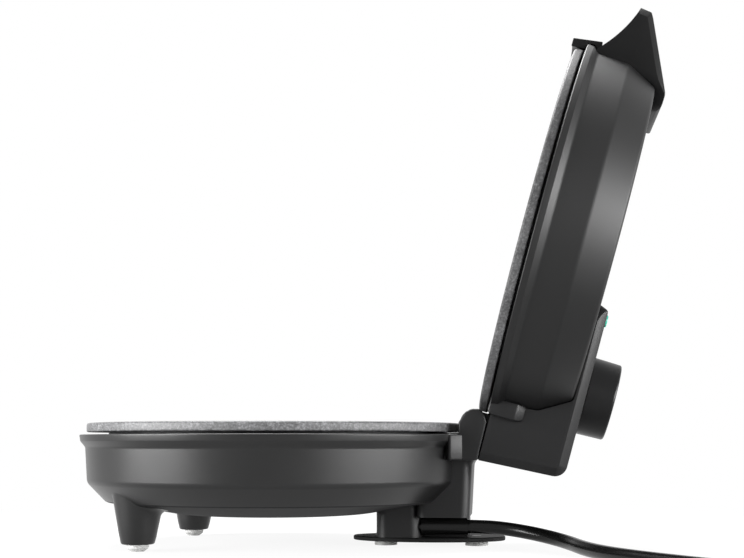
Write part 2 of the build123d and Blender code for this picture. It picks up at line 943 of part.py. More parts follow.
def cord_coil():
    """Spare cord, wound in two layers."""
    start, first, end, last = coil_ends()
    turns = [coil_turns * index / coil_steps for index in range(coil_steps + 1)]
    edges = [Edge.make_line(start, coil_point(0))]
    for turn, following in zip(turns, turns[1:]):
        edges += biarc(
            coil_point(turn), coil_heading(turn),
            coil_point(following), coil_heading(following),
        )
    edges.append(Edge.make_line(coil_point(coil_turns), end))
    return tube(Wire(edges), cord_radius)


def coil_least_gap():
    """Least gap between the coil and itself, on points half a turn or more apart."""
    count = 480
    points = [coil_point(coil_turns * index / count) for index in range(count + 1)]
    away = int(count * 0.5 / coil_turns)
    gaps = [
        (points[first] - points[second]).length
        for first in range(count + 1)
        for second in range(first + away, count + 1)
    ]
    return min(gaps) - 2 * cord_radius


def bend_radii(points):
    """Largest radius that each corner's two runs allow."""
    radii = []
    for before, corner, after in zip(points, points[1:], points[2:]):
        turn = (corner - before).get_angle(after - corner)
        shorter = min((corner - before).length, (after - corner).length)
        radii.append(0.45 * shorter / tan(radians(turn) / 2))
    return radii


def cord_tube(name, points):
    """Free stretch of cord, with its radii and volume printed."""
    radii = bend_radii(points)
    path = FilletPolyline(*points, radius=radii)
    solid = tube(path, cord_radius)
    expected = pi * cord_radius ** 2 * path.length
    print(name, "radii", [round(radius, 1) for radius in radii], "length", round(path.length, 1))
    print(name, "volume over section times length", round(solid.volume / expected, 5))
    return solid


def relief_tip():
    """Where the cord leaves its strain relief."""
    return Vector(column_end + relief_length, relief_y, relief_z)


def strain_relief():
    """Tapered grommet held in the column's wall."""
    profile = [
        (0, -2 * control_wall),
        (relief_flange_radius, -2 * control_wall),
        (relief_flange_radius, -control_wall),
        (relief_neck_radius, -control_wall),
        (relief_neck_radius, 0),
        (relief_root_radius, 0),
        (relief_tip_radius, relief_length),
        (0, relief_length),
    ]
    place = Plane(origin=(column_end, relief_y, relief_z), x_dir=(0, 1, 0), z_dir=(1, 0, 0))
    return place * turned(profile)


def power_cord():
    """Cord from the strain relief to the coil."""
    start, heading, _, _ = coil_ends()
    points = [relief_tip()] + [Vector(*point) for point in cord_points]
    return cord_tube("power_cord", points + [start - heading * cord_last_run, start])


def plug_lead_points():
    """Cord from the coil up to the plug's axis."""
    _, _, end, heading = coil_ends()
    first, second, third = plug_lead_runs
    rise = plug_thickness / 2 - end.Z
    corner = end + heading * first
    turned_heading = heading.rotate(Axis.Z, plug_lead_turn)
    climb = corner + turned_heading * second + Vector(0, 0, rise)
    return [end, corner, climb, climb + turned_heading.rotate(Axis.Z, plug_lead_turn) * third]


def plug_frame():
    """Frame at the rear of the plug's relief, looking along the pins."""
    points = plug_lead_points()
    heading = points[3] - points[2]
    return Plane(origin=points[3], x_dir=heading.cross(Vector(0, 0, 1)), z_dir=heading)


def plug():
    """Moulded plug with a tapered relief and a flat face."""
    relief = upright(
        0, 0, 0, plug_relief, cord_radius + plug_relief_wall, cord_radius + plug_relief_root
    )
    back = RectangleRounded(
        plug_width * plug_back, plug_thickness * plug_back, plug_corner * plug_back
    )
    face = RectangleRounded(plug_width, plug_thickness, plug_corner)
    split = plug_relief + plug_length - plug_straight
    body = loft([Pos(0, 0, plug_relief - plug_relief_overlap) * back, Pos(0, 0, split) * face])
    body += Pos(0, 0, split) * extrude(face, plug_straight)
    return plug_frame() * (relief + body)


def plug_pins():
    """Two round contact pins."""
    pins = Part()
    face = plug_relief + plug_length
    for side in (-1, 1):
        pin = upright(side * plug_pin_half, 0, face, face + plug_pin_length, plug_pin_radius)
        pins += chamfer(pin.edges().sort_by(Axis.Z)[-1], plug_pin_edge)
    return plug_frame() * pins


# Lid, modelled in its own frame: +x toward the handle, +z out of the plate's back

def lid_housing():
    """Shell of the lid, with openings for the thermostat, lamp and lead."""
    shell = housing_shell(lid_path, lid_posts, lid_seat_depth)
    shell += side_pads(lid_outside, handle_screw_places, side_seat)
    shell += side_pads(lid_outside, control_screw_places, -side_seat)
    shell -= side_holes(handle_screw_places, side_seat, side_screw_length)
    shell -= side_holes(control_screw_places, -side_seat, side_screw_length)
    lamp_hole = lamp_radius + lamp_hole_clearance
    shell -= upright(knob_x, 0, lid_wall_depth, control_top, bushing_radius + bushing_clearance)
    shell -= upright(indicator_x, indicator_y, lid_wall_depth, control_top, lamp_hole)
    shell -= along_x(-hinge_x, control_wall - side_seat, -lead_side, lid_lead_depth,
                     lead_radius + lead_passage_clearance)
    return shell


def handle():
    """Scooped handle whose tongue lies on the lid and whose apron hangs over its rim."""
    half = handle_half_width
    tip = (rim_radius + handle_tip, handle_tip_low)
    root = (rim_radius + under_root[0], under_root[1])
    top = [
        root,
        (rim_radius + tongue_end, lid_top_depth - tongue_sink),
        (rim_radius + tongue_end, tongue_depth),
        (rim_radius + handle_top_rear, tongue_depth),
        (rim_radius + handle_top_front, handle_top_front_depth),
        (rim_radius + handle_tip - handle_tip_lean, handle_tip_high),
        tip,
    ]
    scoop = ThreePointArc(tip, (rim_radius + under_middle[0], under_middle[1]), root)
    side = make_face(Polyline(*top) + scoop)
    rounds = (tongue_round, handle_bend, handle_tip_round, handle_tip_round)
    for corner, radius in zip(top[2:6], rounds):
        side = fillet(side.vertices().sort_by_distance(corner)[0], radius)
    body = extrude(Pos(0, half, 0) * (Plane.XZ * side), 2 * half)
    rounded = side_edges(body, half, rim_radius + handle_top_rear, tip[0])
    body = fillet(rounded, handle_side_round)
    reach = handle_tip - tongue_end
    plan = Pos(tip[0], 0) * Rectangle(2 * reach, 2 * half)
    plan = fillet(plan.vertices().group_by(Axis.X)[0], tongue_corner)
    body &= extrude(plan, 2 * tongue_depth)
    lower = -apron_drop
    inner = rim_radius + apron_clearance
    ring = turned([
        (rim_radius + apron_overhang - apron_wall, lower),
        (rim_radius + apron_overhang, lower),
        (rim_radius + apron_overhang + apron_flare, lower + apron_height),
        (rim_radius - step_in, lower + apron_height),
        (rim_radius - step_in, rim_depth + step_height),
        (inner, rim_depth + lip_height),
        (inner, rim_depth - apron_clearance),
        (rim_radius + apron_overhang - apron_wall, rim_depth - apron_clearance),
    ])
    width = (-apron_half_width, apron_half_width)
    span = block((0, 2 * rim_radius), width, (lower, lower + apron_height))
    body = body + (ring & span) - lid_outside
    for y, z in handle_screw_places:
        body -= along_x(side_seat, side_seat + side_screw_length, y, z, screw_radius)
    return body


def knuckles():
    """Two hinge knuckles under the control block."""
    barrels = Part()
    for side in (-1, 1):
        span = (side * pin_inner, side * knuckle_outer)
        barrels += along_y(-hinge_x, -closed_gap, *span, knuckle_radius)
        barrels += block(
            (-hinge_x - knuckle_neck_half, -hinge_x + knuckle_neck_half),
            sorted(span),
            (-closed_gap, block_inner_depth + 1),
        )
    return barrels


def control_housing():
    """Hinge block, control panel, knuckles and ears in one moulding."""
    half = control_half_width
    rear_low = block_rear_low - hinge_x
    rear_high = block_rear_high - hinge_x
    front = panel_front - hinge_x
    ear_front = lid_ear_front - hinge_x
    ear_rear = lid_ear_rear - hinge_x
    body = slab([
        (ear_front, block_inner_depth),
        (rear_low, block_inner_depth),
        (rear_high, control_top - block_corner),
        (rear_high + block_rear_lean, control_top),
        (front - panel_front_slope, control_top),
        (front, lid_top_depth),
        (front, lid_wall_depth),
        (ear_front, lid_wall_depth),
    ], -half, half, ((3, block_corner), (4, panel_edge)))
    outer = [
        edge for edge in side_edges(body, half, rear_low - 1, front)
        if edge.center().Z > block_inner_depth + 1 and edge.center().X < ear_front
        or edge.center().Z > control_top - 0.5
    ]
    body = fillet(outer, control_side_round)
    length = front - rear_low
    plan = Pos(rear_low, 0) * Rectangle(2 * length, 2 * half)
    plan = fillet(plan.vertices().group_by(Axis.X)[-1], panel_plan_corner)
    body &= extrude(plan, 2 * control_top)
    inner = half - 2 * control_wall
    body -= block(
        (rear_high + control_wall, ear_front),
        (-inner, inner),
        (block_inner_depth + control_wall, panel_inner),
    )
    body -= block(
        (ear_front - 1, front - 2 * control_wall),
        (-inner, inner),
        (lid_wall_depth, panel_inner),
    )
    for y, z in control_screw_places:
        body += along_x(rear_high, ear_front, y, z, boss_radius)
    body += upright(knob_x, 0, lid_top_depth, control_top, thermostat_collar_radius)
    body += upright(indicator_x, indicator_y, lid_top_depth, control_top, boss_radius)
    for side in (-1, 1):
        ear = slab([
            (ear_front, lid_ear_low),
            (ear_rear, lid_ear_low),
            (ear_rear, lid_ear_high),
            (ear_front, lid_ear_high),
        ], *sorted((side * (ear_inner - 1), side * ear_outer)), ((1, lid_ear_end), (2, lid_ear_end)))
        body += ear
    body += knuckles()
    body -= lid_outside
    body -= upright(0, 0, -plate_edge, rim_depth, plate_radius + plate_side_gap)
    body -= along_y(-hinge_x, -closed_gap, -half, half, pin_radius + pin_clearance)
    for y, z in control_screw_places:
        body -= along_x(-side_seat, -side_seat - side_screw_length, y, z, screw_radius)
    body -= upright(knob_x, 0, 0, control_top + 1, bushing_radius + bushing_clearance)
    body -= upright(indicator_x, indicator_y, 0, control_top + 1, lens_stem_radius)
    body -= upright(-hinge_x, -lead_side, 0, block_inner_depth + 2 * control_wall,
                    lead_radius + lead_hole_clearance)
    return body


def thermostat():
    """Thermostat body with a collar under the lid's top and a bushing through it."""
    top = lid_inner_top
    collar_low = top - thermostat_collar
    half = thermostat_half
    body = block(
        (knob_x - half, knob_x + half),
        (-half, half),
        (collar_low - thermostat_height, collar_low),
    )
    body += upright(knob_x, 0, collar_low, top, thermostat_collar_radius)
    body += upright(knob_x, 0, top, control_top - bushing_above, bushing_radius)
    low = collar_low - thermostat_height + shaft_floor
    return body - upright(knob_x, 0, low, control_top, shaft_radius + shaft_clearance)


def thermostat_shaft():
    """Shaft that turns with the knob."""
    floor = lid_inner_top - thermostat_collar - thermostat_height + shaft_floor
    high = control_top + knob_gap + knob_height - knob_crown
    return upright(knob_x, 0, floor + shaft_end_gap, high, shaft_radius)


def thermostat_knob():
    """Hollow round knob with a hub on the shaft."""
    low = control_top + knob_gap
    high = low + knob_height
    shell = turned([
        (0, high),
        (knob_top_radius, high),
        (knob_radius, low),
        (knob_radius - knob_wall, low),
        (knob_top_radius - knob_wall, high - knob_crown),
        (hub_radius, high - knob_crown),
        (hub_radius, low),
        (0, low),
    ], ((1, knob_edge),))
    shaft_end = high - knob_crown
    return Pos(knob_x, 0, 0) * (shell - upright(0, 0, low - 1, shaft_end, shaft_radius))


def indicator_lens():
    """Lens seated in the panel, hollow for its lamp."""
    lens = turned([
        (0, lid_top_depth + lens_stem_gap),
        (lens_stem_radius, lid_top_depth + lens_stem_gap),
        (lens_stem_radius, control_top),
        (lens_radius, control_top),
        (lens_radius, control_top + lens_proud),
        (0, control_top + lens_proud),
    ], ((4, lens_edge),))
    lens -= upright(0, 0, lid_top_depth, control_top - lamp_cover, lamp_radius + lamp_clearance)
    return Pos(indicator_x, indicator_y, 0) * lens


def indicator_lamp():
    """Glow lamp under the lens."""
    high = control_top - lamp_cover - lamp_gap
    return upright(indicator_x, indicator_y, high - lamp_length, high, lamp_radius)


def lid_lead():
    """Heater lead from the hinge axis into the control block and the lid."""
    path = FilletPolyline(
        (-hinge_x, -lead_gap / 2, -closed_gap),
        (-hinge_x, -lead_side, -closed_gap),
        (-hinge_x, -lead_side, lid_lead_depth),
        (-side_seat, -lead_side, lid_lead_depth),
        radius=[lead_bend, lead_bend],
    )
    return tube(path, lead_radius)


def build():
    """Every piece by name."""
    pieces = {
        "base_housing": base_housing(),
        "front_leg_near": front_leg(*leg_places[0]),
        "front_leg_far": front_leg(*leg_places[1]),
        "front_feet": front_feet(),
        "leg_screws": leg_screws(),
        "hinge_tower": hinge_tower(),
        "cord_wrap_flange": cord_wrap_flange(),
        "flange_screws": flange_screws(),
        "rear_pads": rear_pads(),
        "hinge_pins": hinge_pins(),
        "terminal_block": terminal_block(),
        "thermal_fuse": thermal_fuse(),
        "supply_lead": supply_lead(),
        "hinge_lead": hinge_lead(),
        "strain_relief": strain_relief(),
        "power_cord": power_cord(),
        "cord_coil": cord_coil(),
        "plug_lead": cord_tube("plug_lead", plug_lead_points()),
        "plug": plug(),
        "plug_pins": plug_pins(),
    }
    base_stack = {
        "lower_cooking_plate": cooking_plate(lower_recess, base_posts),
        "lower_heating_element": heating_element(lower_recess, 0),
        "lower_heat_reflector": heat_reflector(base_posts, 0),
        "lower_plate_screws": plate_screws(base_posts, base_seat_depth),
        "tower_screws": side_screws(tower_screw_places, side_seat, 1),
    }
    lid_stack = {
        "lid_housing": lid_housing(),
        "upper_cooking_plate": cooking_plate(upper_recess, lid_posts),
        "upper_heating_element": heating_element(upper_recess, 180),
        "upper_heat_reflector": heat_reflector(lid_posts, 180),
        "upper_plate_screws": plate_screws(lid_posts, lid_seat_depth),
        "handle": handle(),
        "handle_screws": side_screws(handle_screw_places, side_seat, 1),
        "control_housing": control_housing(),
        "control_housing_screws": side_screws(control_screw_places, -side_seat, -1),
        "thermostat": thermostat(),
        "thermostat_shaft": thermostat_shaft(),
        "thermostat_knob": thermostat_knob(),
        "indicator_lens": indicator_lens(),
        "indicator_lamp": indicator_lamp(),
        "lid_lead": lid_lead(),
    }
    for name, piece in base_stack.items():
        pieces[name] = base_frame * piece
    for name, piece in lid_stack.items():
        pieces[name] = lid_frame * piece
    return pieces


# The origin moves to the middle of the object's footprint, measured without the loose cord
cord_pieces = ("power_cord", "cord_coil", "plug_lead", "plug", "plug_pins")
pieces = build()
own_boxes = [piece.bounding_box() for name, piece in pieces.items() if name not in cord_pieces]
middle_x = (min(box.min.X for box in own_boxes) + max(box.max.X for box in own_boxes)) / 2
print("coil least gap", round(coil_least_gap(), 2))
print("plate axis at x", round(-middle_x, 3))
print("hinge axis at x", round(hinge_x - middle_x, 3), "z", round(hinge_z, 3))
knob_centre = lid_centre + lid_up * knob_x
print("knob axis through", round(knob_centre.X - middle_x, 3), round(knob_centre.Z, 3))
os.makedirs("parts", exist_ok=True)
for name, piece in pieces.items():
    export_step(Pos(-middle_x, 0, 0) * piece, "parts/" + name + ".step")
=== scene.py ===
import json
import math
import bmesh
import bpy
from mathutils import Matrix, Vector


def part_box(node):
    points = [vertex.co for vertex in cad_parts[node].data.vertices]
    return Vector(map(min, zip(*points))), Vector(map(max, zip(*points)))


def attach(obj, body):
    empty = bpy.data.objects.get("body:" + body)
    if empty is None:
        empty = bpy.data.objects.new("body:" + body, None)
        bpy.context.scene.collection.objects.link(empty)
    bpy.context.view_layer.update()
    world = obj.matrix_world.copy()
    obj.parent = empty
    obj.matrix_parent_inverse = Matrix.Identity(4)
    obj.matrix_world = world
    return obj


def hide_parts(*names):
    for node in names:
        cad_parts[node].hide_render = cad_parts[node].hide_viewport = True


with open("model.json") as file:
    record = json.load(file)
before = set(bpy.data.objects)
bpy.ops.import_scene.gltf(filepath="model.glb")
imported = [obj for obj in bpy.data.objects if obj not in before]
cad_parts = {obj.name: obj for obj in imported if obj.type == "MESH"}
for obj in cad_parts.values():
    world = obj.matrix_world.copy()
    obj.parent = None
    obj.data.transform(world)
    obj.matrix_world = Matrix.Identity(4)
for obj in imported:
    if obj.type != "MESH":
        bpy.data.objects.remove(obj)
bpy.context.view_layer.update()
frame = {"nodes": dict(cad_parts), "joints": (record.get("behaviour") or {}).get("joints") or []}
nodes = frame["nodes"]
joints = {joint["name"]: joint for joint in frame["joints"]}

# Sizes in millimetres and angles in degrees, where no other unit is named.
MM = 0.001
PLATE_FACE = 63.8
plate_low, plate_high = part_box("lower_cooking_plate")
plate_x = (plate_low.x + plate_high.x) / 2 / MM
hinge = Vector(joints["lid_hinge"]["pos_m"]) / MM
open_angle = -joints["lid_hinge"]["range_deg"][0]
lean = math.radians(open_angle - 90)
CLOSED_GAP = 0.55

PLATE_RADIUS = 100.0
PLATE_EDGE = 4.7
RIM_DEPTH = 6.0
RIM_RADIUS = 103.7
WALL = 2.4
SHARP_ANGLE = 40.0
ON_AXIS = 1e-6

# Places: the base frame has its origin on the lower plate's axis at the table. The stack frame has it
# level with the lower plate's rim, with z down. The lid frame has it at the upper plate's centre,
# level with its rim, with x toward the handle and z out of the lid's back.
hinge_reach = hinge.x - plate_x
lid_up = Vector((math.sin(lean), 0, math.cos(lean)))
lid_out = Vector((math.cos(lean), 0, -math.sin(lean)))
lid_centre = hinge + lid_up * hinge_reach + lid_out * CLOSED_GAP


def frame_matrix(origin, x_axis, z_axis):
    """Matrix from a local frame in millimetres to the shared frame in metres."""
    y_axis = z_axis.cross(x_axis)
    turn = Matrix((x_axis, y_axis, z_axis)).transposed().to_4x4()
    return Matrix.Scale(MM, 4) @ Matrix.Translation(origin) @ turn


BASE = frame_matrix(Vector((plate_x, 0, 0)), Vector((1, 0, 0)), Vector((0, 0, 1)))
STACK = frame_matrix(Vector((plate_x, 0, PLATE_FACE)), Vector((1, 0, 0)), Vector((0, 0, -1)))
LID = frame_matrix(lid_centre, lid_up, lid_out)


# Outlines

def turned_by(point, angle):
    """Point of a plane, turned about the origin."""
    c, s = math.cos(angle), math.sin(angle)
    return Vector((point[0] * c - point[1] * s, point[0] * s + point[1] * c))


def rounded(points, radii, step, closed=True):
    """Outline with arcs at the corners that radii names by index."""
    result = []
    count = len(points)
    for index, point in enumerate(points):
        here = Vector(point)
        radius = radii.get(index, 0)
        end = not closed and index in (0, count - 1)
        if radius <= 0 or end:
            result.append(here)
            continue
        before = Vector(points[index - 1]) - here
        after = Vector(points[(index + 1) % count]) - here
        limit = 0.499 * min(before.length, after.length)
        before.normalize()
        after.normalize()
        half = before.angle(after) / 2
        reach = radius / math.tan(half)
        if reach > limit:
            reach = limit
            radius = reach * math.tan(half)
        centre = here + (before + after).normalized() * (radius / math.sin(half))
        start = here + before * reach - centre
        finish = here + after * reach - centre
        sweep = start.angle(finish)
        turn = math.copysign(sweep, start.x * finish.y - start.y * finish.x)
        steps = max(2, math.ceil(math.degrees(sweep) / step))
        result += [centre + turned_by(start, turn * k / steps) for k in range(steps + 1)]
    return result


def inset(path, distance):
    """Open path of radius and depth, moved inward by a wall's thickness."""
    moved = []
    last = len(path) - 1
    for index, point in enumerate(path):
        before = Vector(point) - Vector(path[max(index - 1, 0)])
        after = Vector(path[min(index + 1, last)]) - Vector(point)
        if index == 0:
            moved.append((point[0] - distance, point[1]))
            continue
        if index == last:
            moved.append((0, point[1] - distance))
            continue
        before.normalize()
        after.normalize()
        normal = Vector((-before.y - after.y, before.x + after.x)).normalized()
        reach = distance / max(0.3, normal.dot(Vector((-before.y, before.x))))
        moved.append((point[0] + normal.x * reach, point[1] + normal.y * reach))
    return moved


# Meshes

def skin_rings(data, rings):
    """Faces between rings that have as many vertices each, and over the first and last of them."""
    for first, second in zip(rings, rings[1:]):
        count = len(first)
        for k in range(count):
            following = (k + 1) % count
            data.faces.new((first[k], first[following], second[following], second[k]))
    data.faces.new(rings[0][::-1])
    data.faces.new(rings[-1])


def finish_mesh(name, mesh_data, place, body, material, sharp=SHARP_ANGLE):
    """Object in the shared frame that rides on a body, smooth but for its sharp edges."""
    mesh = bpy.data.meshes.new(name)
    bmesh.ops.recalc_face_normals(mesh_data, faces=mesh_data.faces)
    mesh_data.to_mesh(mesh)
    mesh_data.free()
    mesh.transform(place)
    piece = bpy.data.objects.new(name, mesh)
    bpy.context.scene.collection.objects.link(piece)
    for polygon in mesh.polygons:
        polygon.use_smooth = True
    mesh.set_sharp_from_angle(angle=math.radians(sharp))
    mesh.materials.append(material)
    if body:
        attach(piece, body)
    return piece


def turned_data(profile, segments):
    """Surface turned about the local z from a closed outline of radius and height."""
    data = bmesh.new()
    rings = []
    for radius, height in profile:
        if radius < ON_AXIS:
            rings.append([data.verts.new((0, 0, height))])
            continue
        angles = [2 * math.pi * k / segments for k in range(segments)]
        rings.append([data.verts.new((radius * math.cos(a), radius * math.sin(a), height))
                      for a in angles])
    for first, second in zip(rings, rings[1:] + rings[:1]):
        if len(first) == 1 and len(second) == 1:
            continue
        for k in range(segments):
            following = (k + 1) % segments
            corners = [first[k % len(first)], first[following % len(first)],
                       second[following % len(second)], second[k % len(second)]]
            data.faces.new(list(dict.fromkeys(corners)))
    bmesh.ops.recalc_face_normals(data, faces=data.faces)
    return data


def prism_data(outline, low, high):
    """Block between local y = low and high, with its outline in local x and z."""
    data = bmesh.new()
    near = [data.verts.new((x, low, z)) for x, z in outline]
    far = [data.verts.new((x, high, z)) for x, z in outline]
    data.faces.new(near)
    data.faces.new(far[::-1])
    count = len(outline)
    for k in range(count):
        following = (k + 1) % count
        data.faces.new((near[k], far[k], far[following], near[following]))
    bmesh.ops.recalc_face_normals(data, faces=data.faces)
    return data


def moved_axes(data, order):
    """The same block with its coordinates in another order."""
    for vertex in data.verts:
        vertex.co = [vertex.co[axis] for axis in order]
    bmesh.ops.recalc_face_normals(data, faces=data.faces)
    return data


def plan_data(outline, low, high):
    """Block between local z = low and high, with its outline in local x and y."""
    return moved_axes(prism_data(outline, low, high), (0, 2, 1))


def end_data(outline, low, high):
    """Block between local x = low and high, with its outline in local y and z."""
    return moved_axes(prism_data(outline, low, high), (1, 0, 2))


def loose(data, place=None):
    """Object for modelling steps, not yet a piece."""
    mesh = bpy.data.meshes.new("step")
    data.to_mesh(mesh)
    data.free()
    if place:
        mesh.transform(place)
    step = bpy.data.objects.new("step", mesh)
    bpy.context.scene.collection.objects.link(step)
    return step


def applied(piece):
    """The object's mesh with its modifiers in it."""
    graph = bpy.context.evaluated_depsgraph_get()
    mesh = bpy.data.meshes.new_from_object(piece.evaluated_get(graph))
    piece.modifiers.clear()
    piece.data = mesh
    return piece


def combine(target, tool, operation):
    """Exact boolean of two modelling steps; the tool is used up."""
    modifier = target.modifiers.new("combine", "BOOLEAN")
    modifier.object = tool
    modifier.operation = operation
    modifier.solver = "EXACT"
    applied(target)
    bpy.data.objects.remove(tool)
    return target


def softened(target, width, angle, steps):
    """Rounds the edges that are sharper than the angle."""
    bevel = target.modifiers.new("edge", "BEVEL")
    bevel.width = width
    bevel.segments = steps
    bevel.limit_method = "ANGLE"
    bevel.angle_limit = math.radians(angle)
    bevel.use_clamp_overlap = True
    return applied(target)


def joined(steps):
    """One object of several modelling steps."""
    first = steps[0]
    data = bmesh.new()
    for step in steps:
        data.from_mesh(step.data)
    data.to_mesh(first.data)
    data.free()
    for step in steps[1:]:
        bpy.data.objects.remove(step)
    return first


def as_piece(name, step, place, body, material):
    """Turns a modelling step into a finished piece."""
    mesh = step.data
    mesh.transform(place)
    step.name = name
    mesh.name = name
    mesh.materials.clear()
    mesh.materials.append(material)
    for polygon in mesh.polygons:
        polygon.use_smooth = True
        polygon.material_index = 0
    mesh.set_sharp_from_angle(angle=math.radians(SHARP_ANGLE))
    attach(step, body)
    return step


def box_outline(x0, x1, z0, z1):
    """Corners of a rectangle."""
    return [(x0, z0), (x1, z0), (x1, z1), (x0, z1)]


def all_corners(radius):
    """The same radius for each corner of a rectangle."""
    return {corner: radius for corner in range(4)}


# Materials; their scales and depths are for coordinates in metres

LINE_SCALE = (400, 400, 12)
COLOUR_A = 6
COLOUR_B = 7
COLOUR_RESULT = 2


def shader(name, colour, roughness, specular, metallic=0.0):
    """Principled material with its own node tree."""
    material = bpy.data.materials.new(name)
    material.use_nodes = True
    surface = material.node_tree.nodes["Principled BSDF"]
    surface.inputs["Base Color"].default_value = (*colour, 1)
    surface.inputs["Roughness"].default_value = roughness
    surface.inputs["Specular IOR Level"].default_value = specular
    surface.inputs["Metallic"].default_value = metallic
    return material, material.node_tree, surface


def add_node(tree, kind, **values):
    """Node with its inputs set by name, where an underscore stands for a space."""
    node = tree.nodes.new(kind)
    for key, value in values.items():
        node.inputs[key.replace("_", " ")].default_value = value
    return node


def object_coordinates(tree):
    """The piece's own coordinates, in metres."""
    return tree.nodes.new("ShaderNodeTexCoord").outputs["Object"]


def add_bump(tree, surface, height, strength, distance):
    """Bump from a height output."""
    bump = add_node(tree, "ShaderNodeBump", Strength=strength, Distance=distance)
    tree.links.new(height, bump.inputs["Height"])
    tree.links.new(bump.outputs["Normal"], surface.inputs["Normal"])


def noise(tree, scale, detail, rough=0.5):
    """Noise in object space."""
    node = add_node(tree, "ShaderNodeTexNoise", Scale=scale, Detail=detail, Roughness=rough)
    tree.links.new(object_coordinates(tree), node.inputs["Vector"])
    return node.outputs["Fac"]


def ramped(tree, value, stops):
    """Colour ramp over a value; stops are (place, grey or colour)."""
    ramp = tree.nodes.new("ShaderNodeValToRGB")
    elements = ramp.color_ramp.elements
    while len(elements) < len(stops):
        elements.new(0.5)
    for element, (place, colour) in zip(elements, stops):
        element.position = place
        rgb = colour if isinstance(colour, tuple) else (colour, colour, colour)
        element.color = (*rgb, 1)
    tree.links.new(value, ramp.inputs["Fac"])
    return ramp.outputs["Color"]


def toned(colour, share):
    """Lighter or darker version of a colour."""
    return tuple(min(1.0, channel * share) for channel in colour)


def set_tones(tree, surface, value, stops):
    """Base colour that follows a value."""
    tree.links.new(ramped(tree, value, stops), surface.inputs["Base Color"])


def scaled(tree, value, low, high):
    """Maps 0..1 to low..high."""
    node = add_node(tree, "ShaderNodeMapRange", To_Min=low, To_Max=high)
    tree.links.new(value, node.inputs["Value"])
    return node.outputs["Result"]


def moulded_plastic(name, colour, roughness, specular, grain=2400, depth=0.00002):
    """Moulded plastic with a fine spark-eroded grain and faint tone changes."""
    material, tree, surface = shader(name, colour, roughness, specular)
    cloud = noise(tree, 40, 3)
    set_tones(tree, surface, cloud, [(0.3, toned(colour, 0.9)), (0.7, toned(colour, 1.12))])
    fine = noise(tree, grain, 2)
    tree.links.new(scaled(tree, cloud, roughness - 0.03, roughness + 0.03), surface.inputs["Roughness"])
    add_bump(tree, surface, fine, 0.25, depth)
    return material


def cast_coating(name, colour, contrast, level=0.3):
    """Non-stick coating on a cast plate: pitted, with pale specks."""
    material, tree, surface = shader(name, colour, 0.42, level)
    pits = noise(tree, 900, 5, 0.65)
    blotch = noise(tree, 120, 3, 0.6)
    mix = tree.nodes.new("ShaderNodeMix")
    mix.data_type = "RGBA"
    mix.blend_type = "MULTIPLY"
    mix.inputs["Factor"].default_value = 1.0
    tone = ramped(tree, pits, [(0.34, 1 - 0.65 * contrast), (0.52, 1.0), (0.66, 1 + 1.2 * contrast)])
    wash = ramped(tree, blotch, [(0.3, toned(colour, 0.75)), (0.7, toned(colour, 1.25))])
    tree.links.new(tone, mix.inputs[COLOUR_A])
    tree.links.new(wash, mix.inputs[COLOUR_B])
    tree.links.new(mix.outputs[COLOUR_RESULT], surface.inputs["Base Color"])
    tree.links.new(scaled(tree, pits, 0.3, 0.6), surface.inputs["Roughness"])
    add_bump(tree, surface, pits, 0.7, 0.00025)
    return material


def brushed_metal(name, colour, roughness):
    """Drawn or turned metal with fine lines along one direction."""
    material, tree, surface = shader(name, colour, roughness, 0.5, 1.0)
    stretch = add_node(tree, "ShaderNodeMapping", Scale=LINE_SCALE)
    tree.links.new(object_coordinates(tree), stretch.inputs["Vector"])
    lines = add_node(tree, "ShaderNodeTexNoise", Scale=1.0, Detail=4.0, Roughness=0.6)
    tree.links.new(stretch.outputs["Vector"], lines.inputs["Vector"])
    height = lines.outputs["Fac"]
    set_tones(tree, surface, height, [(0.35, toned(colour, 0.8)), (0.65, toned(colour, 1.12))])
    tree.links.new(scaled(tree, height, roughness - 0.06, roughness + 0.1),
                   surface.inputs["Roughness"])
    add_bump(tree, surface, height, 0.2, 0.00003)
    return material


def soft_rubber(name, colour, roughness):
    """Matt rubber with a little dust in its tone."""
    material, tree, surface = shader(name, colour, roughness, 0.35)
    dust = noise(tree, 260, 4, 0.6)
    set_tones(tree, surface, dust, [(0.35, toned(colour, 0.82)), (0.6, toned(colour, 1.08))])
    add_bump(tree, surface, noise(tree, 1800, 2), 0.3, 0.00003)
    return material


def clear_lens(name, colour):
    """Tinted translucent lens with fine ribs inside."""
    material, tree, surface = shader(name, colour, 0.12, 0.5)
    surface.inputs["Transmission Weight"].default_value = 0.35
    surface.inputs["IOR"].default_value = 1.49
    ribs = add_node(tree, "ShaderNodeTexWave", Scale=900.0, Distortion=0.0)
    tree.links.new(object_coordinates(tree), ribs.inputs["Vector"])
    set_tones(tree, surface, ribs.outputs["Fac"], [(0.2, toned(colour, 0.7)), (0.8, colour)])
    return material


def woven_sleeve(name, colour):
    """Glass-fibre sleeve of an inner lead."""
    material, tree, surface = shader(name, colour, 0.8, 0.2)
    weave = add_node(tree, "ShaderNodeTexWave", Scale=700.0, Distortion=1.5, Detail=2.0)
    weave.bands_direction = "DIAGONAL"
    tree.links.new(object_coordinates(tree), weave.inputs["Vector"])
    set_tones(tree, surface, weave.outputs["Fac"], [(0.2, toned(colour, 0.6)), (0.8, colour)])
    add_bump(tree, surface, weave.outputs["Fac"], 0.6, 0.0001)
    return material


